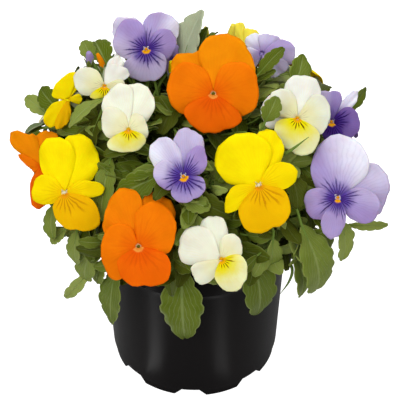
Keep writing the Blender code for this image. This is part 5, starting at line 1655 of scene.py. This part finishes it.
def leaf_tree():
    """Geometry nodes: one of the leaf shapes on each point, turned and sized by the point's own values."""
    tree = bpy.data.node_groups.new("leaves_on_points", "GeometryNodeTree")
    for label, kind in (("Geometry", "NodeSocketGeometry"), ("Shapes", "NodeSocketCollection"),
                        ("Upper", "NodeSocketMaterial"), ("Underside", "NodeSocketMaterial")):
        tree.interface.new_socket(name=label, in_out="INPUT", socket_type=kind)
    tree.interface.new_socket(name="Geometry", in_out="OUTPUT", socket_type="NodeSocketGeometry")
    source = tree.nodes.new("NodeGroupInput").outputs
    shapes = put(tree, "GeometryNodeCollectionInfo", {
        "Collection": source["Shapes"], "Separate Children": True, "Reset Children": True})

    def own(name, kind):
        return put(tree, "GeometryNodeInputNamedAttribute", {"Name": name}, data_type=kind).outputs[0]

    carried = put(tree, "GeometryNodeInstanceOnPoints", {
        "Points": source["Geometry"], "Instance": shapes.outputs[0], "Pick Instance": True,
        "Instance Index": own("shape", "INT"), "Rotation": own("turn", "FLOAT_VECTOR"),
        "Scale": own("size", "FLOAT_VECTOR")})
    real = put(tree, "GeometryNodeRealizeInstances", {"Geometry": carried.outputs[0]})
    upper = put(tree, "GeometryNodeSetMaterial", {"Geometry": real.outputs[0], "Material": source["Upper"]})
    under = put(tree, "GeometryNodeSetMaterial", {
        "Geometry": upper.outputs[0], "Selection": own("underside", "BOOLEAN"),
        "Material": source["Underside"]})
    tree.links.new(under.outputs[0], tree.nodes.new("NodeGroupOutput").inputs[0])
    return tree


def leaf_shapes(context):
    """A collection of small leaves of unit length that lie along Y and face Z."""
    home = bpy.data.collections.new("leaf_shapes")
    context.scene.collection.children.link(home)
    frame_of = (Vector((0.0, 1.0, 0.0)), Vector((-1.0, 0.0, 0.0)), Vector((0.0, 0.0, 1.0)))
    for number, (teeth, fold, arch) in enumerate(LEAF_SHAPES):
        parts = Parts()
        draw = random.Random(LEAF_SHAPE_SEED + number)
        grid, t, c = leaf_grid(Vector(), frame_of, 1.0, SHAPE_WIDTH, arch, 11, 5, teeth, draw, fold)
        parts.add_sheet(grid, SHAPE_THICKNESS, along=t, across=c)
        mesh = parts.mesh(f"leaf_shape_{number}")
        mesh.attributes.remove(mesh.attributes["tone"])
        under = mesh.attributes.new("underside", "BOOLEAN", "FACE")
        under.data.foreach_set("value", [bool(slot) for slot in parts.slots])
        home.objects.link(bpy.data.objects.new(f"leaf_shape_{number}", mesh))
    return home


def side_stem_curves(count):
    """Thin stems from the main ones out to places spread over the dome."""
    draw = random.Random(SIDE_STEM_SEED)
    curves = []
    for index in range(count):
        share = (index + 0.5) / count
        height = math.degrees(math.asin(-0.10 + 1.07 * share))
        target = dome_point(index * GOLDEN_ANGLE + 20.0, height, draw.uniform(0.66, 0.88))
        shoot = nearest_shoot(target)
        start = curve_point(stem_curve(shoot), draw.uniform(0.15, 0.6))
        outward = Vector((target.x - start.x, target.y - start.y, 0.0)) * 0.45
        bend = start + outward + UP * max(0.012, (target.z - start.z) * 0.8)
        curves.append((start, bend, target))
    return curves


class Room:
    """Where a further leaf may lie: clear of petals and pot, in front of no bloom, inside the part's box."""

    def __init__(self):
        self.blooms = []
        self.trees = [tree_of(frame["nodes"]["pot"]), *corolla_trees()]
        for name, bloom in BLOOMS.items():
            reach = max(max(petal[2]) for petal in petals_of(name, bloom))
            self.blooms.append((np.array(face_matrix(*bloom[2:6]).inverted()), reach))

    def free(self, grid):
        points = grid.reshape(-1, 3)
        low, high = (np.array(corner) for corner in CAD_BOX)
        if (points < low - BOX_MARGIN).any() or (points > high + BOX_MARGIN).any():
            return False
        flat = np.hypot(points[:, 0], points[:, 1])
        if ((points[:, 2] < SOIL_TOP + 0.003) & (flat < RIM_RADIUS + 0.001)).any():
            return False
        if outside_bush(points):
            return False
        lowest = FRONT_LOWEST + FRONT_SLOPE * (-points[:, 1] - RIM_RADIUS)
        if ((np.abs(points[:, 0]) < FRONT_HALF) & (points[:, 1] < 0.0) & (points[:, 2] < lowest)).any():
            return False
        for inverse, reach in self.blooms:
            local = points @ inverse[:3, :3].T + inverse[:3, 3]
            ahead = (local[:, 2] > -0.001) & (local[:, 2] < 0.075)
            if (ahead & (np.hypot(local[:, 0], local[:, 1]) < reach * 0.94)).any():
                return False
        return not touches(grid, self.trees)


# Where the leaves of a zone lie, as a share of the dome, their lengths and their tones; the inner leaves'
# tones, all at or below 0, are painted shade inside the bush, and low tones elsewhere are partly painted
# shade
ZONE_REACHES = {"canopy": (0.74, 0.97), "inner": (0.36, 0.76), "front": (0.88, 1.03)}
ZONE_LENGTHS = {"canopy": (0.011, 0.022), "inner": (0.014, 0.028), "front": (0.009, 0.018)}
ZONE_TONES = {"canopy": (-1.0, 0.9), "inner": (-1.5, 0.0), "front": (-0.8, 1.0), "skirt": (-0.8, 0.8)}


def zone_leaves(zone, count):
    """Places that a zone's leaves try: foot, tip, width and roll, and the zone's own random draw."""
    draw = random.Random(ZONE_SEEDS[zone])
    for index in range(count):
        share = (index + 0.5) / count
        azimuth = index * GOLDEN_ANGLE + draw.uniform(-8.0, 8.0)
        if zone == "skirt":
            direction = Vector((math.sin(math.radians(azimuth)), -math.cos(math.radians(azimuth)), 0.0))
            foot = direction * draw.uniform(0.044, 0.062) + UP * draw.uniform(0.094, 0.118)
            drop = draw.uniform(0.1, 1.3)
            side = Vector((-direction.y, direction.x, 0.0)) * draw.uniform(-0.7, 0.7)
            along = (direction + side - UP * drop).normalized()
            length = draw.uniform(0.014, 0.025)
            middle = foot + along * length / 2.0
        else:
            height = math.degrees(math.asin(-0.16 + 1.14 * share))
            reach = draw.uniform(*ZONE_REACHES[zone])
            if zone == "front":
                azimuth, height = draw.uniform(-95.0, 95.0), draw.uniform(-12.0, 72.0)
            middle = dome_point(azimuth, height, reach)
            outward = (middle - DOME_MIDDLE).normalized()
            spin = Matrix.Rotation(draw.uniform(-math.pi, math.pi) * 0.62, 3, outward)
            downhill = spin @ (outward * outward.z - UP).normalized()
            along = (outward * draw.uniform(0.25, 1.5) + downhill + UP * 0.3).normalized()
            length = draw.uniform(*ZONE_LENGTHS[zone])
        width = length * draw.uniform(0.40, 0.58)
        half = along * length / 2.0
        yield middle - half, middle + half, width, draw.uniform(-30.0, 30.0), draw


class VIOLET_OT_foliage(bpy.types.Operator):
    """The many small leaves between the placed ones, on thin side stems"""

    bl_idname = "violet.foliage"
    bl_label = "Foliage"

    def execute(self, context):
        room = Room()
        shapes = leaf_shapes(context)
        tree = leaf_tree()
        curves = side_stem_curves(settings().side_stems)
        marks = [curve_point(ends, t / 10.0) for ends in curves for t in range(2, 11)]
        marks += [curve_point(stem_curve(shoot), t / 10.0) for shoot in SHOOTS for t in range(1, 10)]
        spots = np.array([list(point) for point in marks])
        stalks = Parts()
        for ends in curves:
            radii = [0.0011 - 0.0004 * t / 9.0 for t in range(10)]
            stalks.add_tube(curve_points(ends, 10), radii, 6, 0)
        upper, under = leaf_materials()
        counts = {"canopy": settings().canopy_leaves, "inner": settings().inner_leaves,
                  "skirt": settings().skirt_leaves, "front": settings().front_leaves}
        for zone, count in counts.items():
            points, turns, sizes, picks, tones = [], [], [], [], []
            for foot, tip, width, roll, draw in zone_leaves(zone, count):
                along, across, face = axes = leaf_frame(foot, tip, roll)
                pick, tone = draw.randrange(len(LEAF_SHAPES)), draw.uniform(*ZONE_TONES[zone])
                teeth, fold, arch = LEAF_SHAPES[pick]
                length = (tip - foot).length
                grid, _, _ = leaf_grid(foot, axes, length, width, arch, 5, 3, teeth, draw, fold)
                if not room.free(grid):
                    continue
                turn = Matrix((-across, along, face)).transposed()
                points.append(foot)
                turns.append(list(turn.to_euler()))
                wide = width / SHAPE_WIDTH
                sizes.append((wide, length, (length + wide) / 2.0))
                picks.append(pick)
                tones.append(tone)
                away = np.linalg.norm(spots - np.array(foot), axis=1)
                away = away + np.maximum(spots[:, 2] - foot.z, 0.0) * 2.0
                root = Vector(spots[int(np.argmin(away))])
                gap = (foot - root).length
                bend = foot - along * gap * 0.45
                path = [curve_point((root, bend, foot), s) for s in (0.0, 0.35, 0.7, 1.0)]
                path.append(foot + along * length * 0.25 - face * 0.0002)
                stalks.add_tube(path, (0.0007, 0.0006, 0.0005, 0.0005, 0.0002), 5, 0)
            mesh = bpy.data.meshes.new(zone + "_points")
            mesh.from_pydata(points, [], [])
            for label, kind, field, values in (
                ("turn", "FLOAT_VECTOR", "vector", turns), ("size", "FLOAT_VECTOR", "vector", sizes),
                ("shape", "INT", "value", picks), ("tone", "FLOAT", "value", tones),
            ):
                number = np.int32 if kind == "INT" else np.float32
                data = mesh.attributes.new(label, kind, "POINT")
                data.data.foreach_set(field, np.array(values, number).ravel())
            holder = bpy.data.objects.new(zone + "_points", mesh)
            context.scene.collection.objects.link(holder)
            leaves = holder.modifiers.new("leaves", "NODES")
            leaves.node_group = tree
            for label, value in (("Shapes", shapes), ("Upper", upper), ("Underside", under)):
                leaves[socket_identifier(tree, label)] = value
            made = finished_mesh(holder)
            made.shade_smooth()
            add_piece(zone + "_leaves", made, [], "foliage")
        add_piece("side_stems", stalks.mesh("side_stems"), [stem_material()], "foliage")
        for shape in list(shapes.objects):
            bpy.data.objects.remove(shape, do_unlink=True)
        bpy.data.collections.remove(shapes)
        return {"FINISHED"}


class VIOLET_PT_panel(bpy.types.Panel):
    """Sizes, colours and steps of the potted horned violet"""

    bl_label = "Potted horned violet"
    bl_idname = "VIOLET_PT_panel"
    bl_space_type = "VIEW_3D"
    bl_region_type = "UI"
    bl_category = "Violet"

    def draw(self, context):
        for name in VioletSettings.__annotations__:
            self.layout.prop(context.scene.violet, name)
        for operator in OPERATORS:
            self.layout.operator(operator.bl_idname)


OPERATORS = (
    VIOLET_OT_stage, VIOLET_OT_pot, VIOLET_OT_soil, VIOLET_OT_blooms, VIOLET_OT_shoots, VIOLET_OT_buds,
    VIOLET_OT_foliage)
CLASSES = (VioletSettings, *OPERATORS, VIOLET_PT_panel)


def register():
    for each in CLASSES:
        bpy.utils.register_class(each)
    bpy.types.Scene.violet = bpy.props.PointerProperty(type=VioletSettings)


def unregister():
    del bpy.types.Scene.violet
    for each in reversed(CLASSES):
        bpy.utils.unregister_class(each)


def main():
    register()
    bpy.ops.violet.stage()
    bpy.ops.violet.pot()
    bpy.ops.violet.soil()
    bpy.ops.violet.blooms()
    bpy.ops.violet.shoots()
    bpy.ops.violet.buds()
    bpy.ops.violet.foliage()


if __name__ == "__main__":
    main()
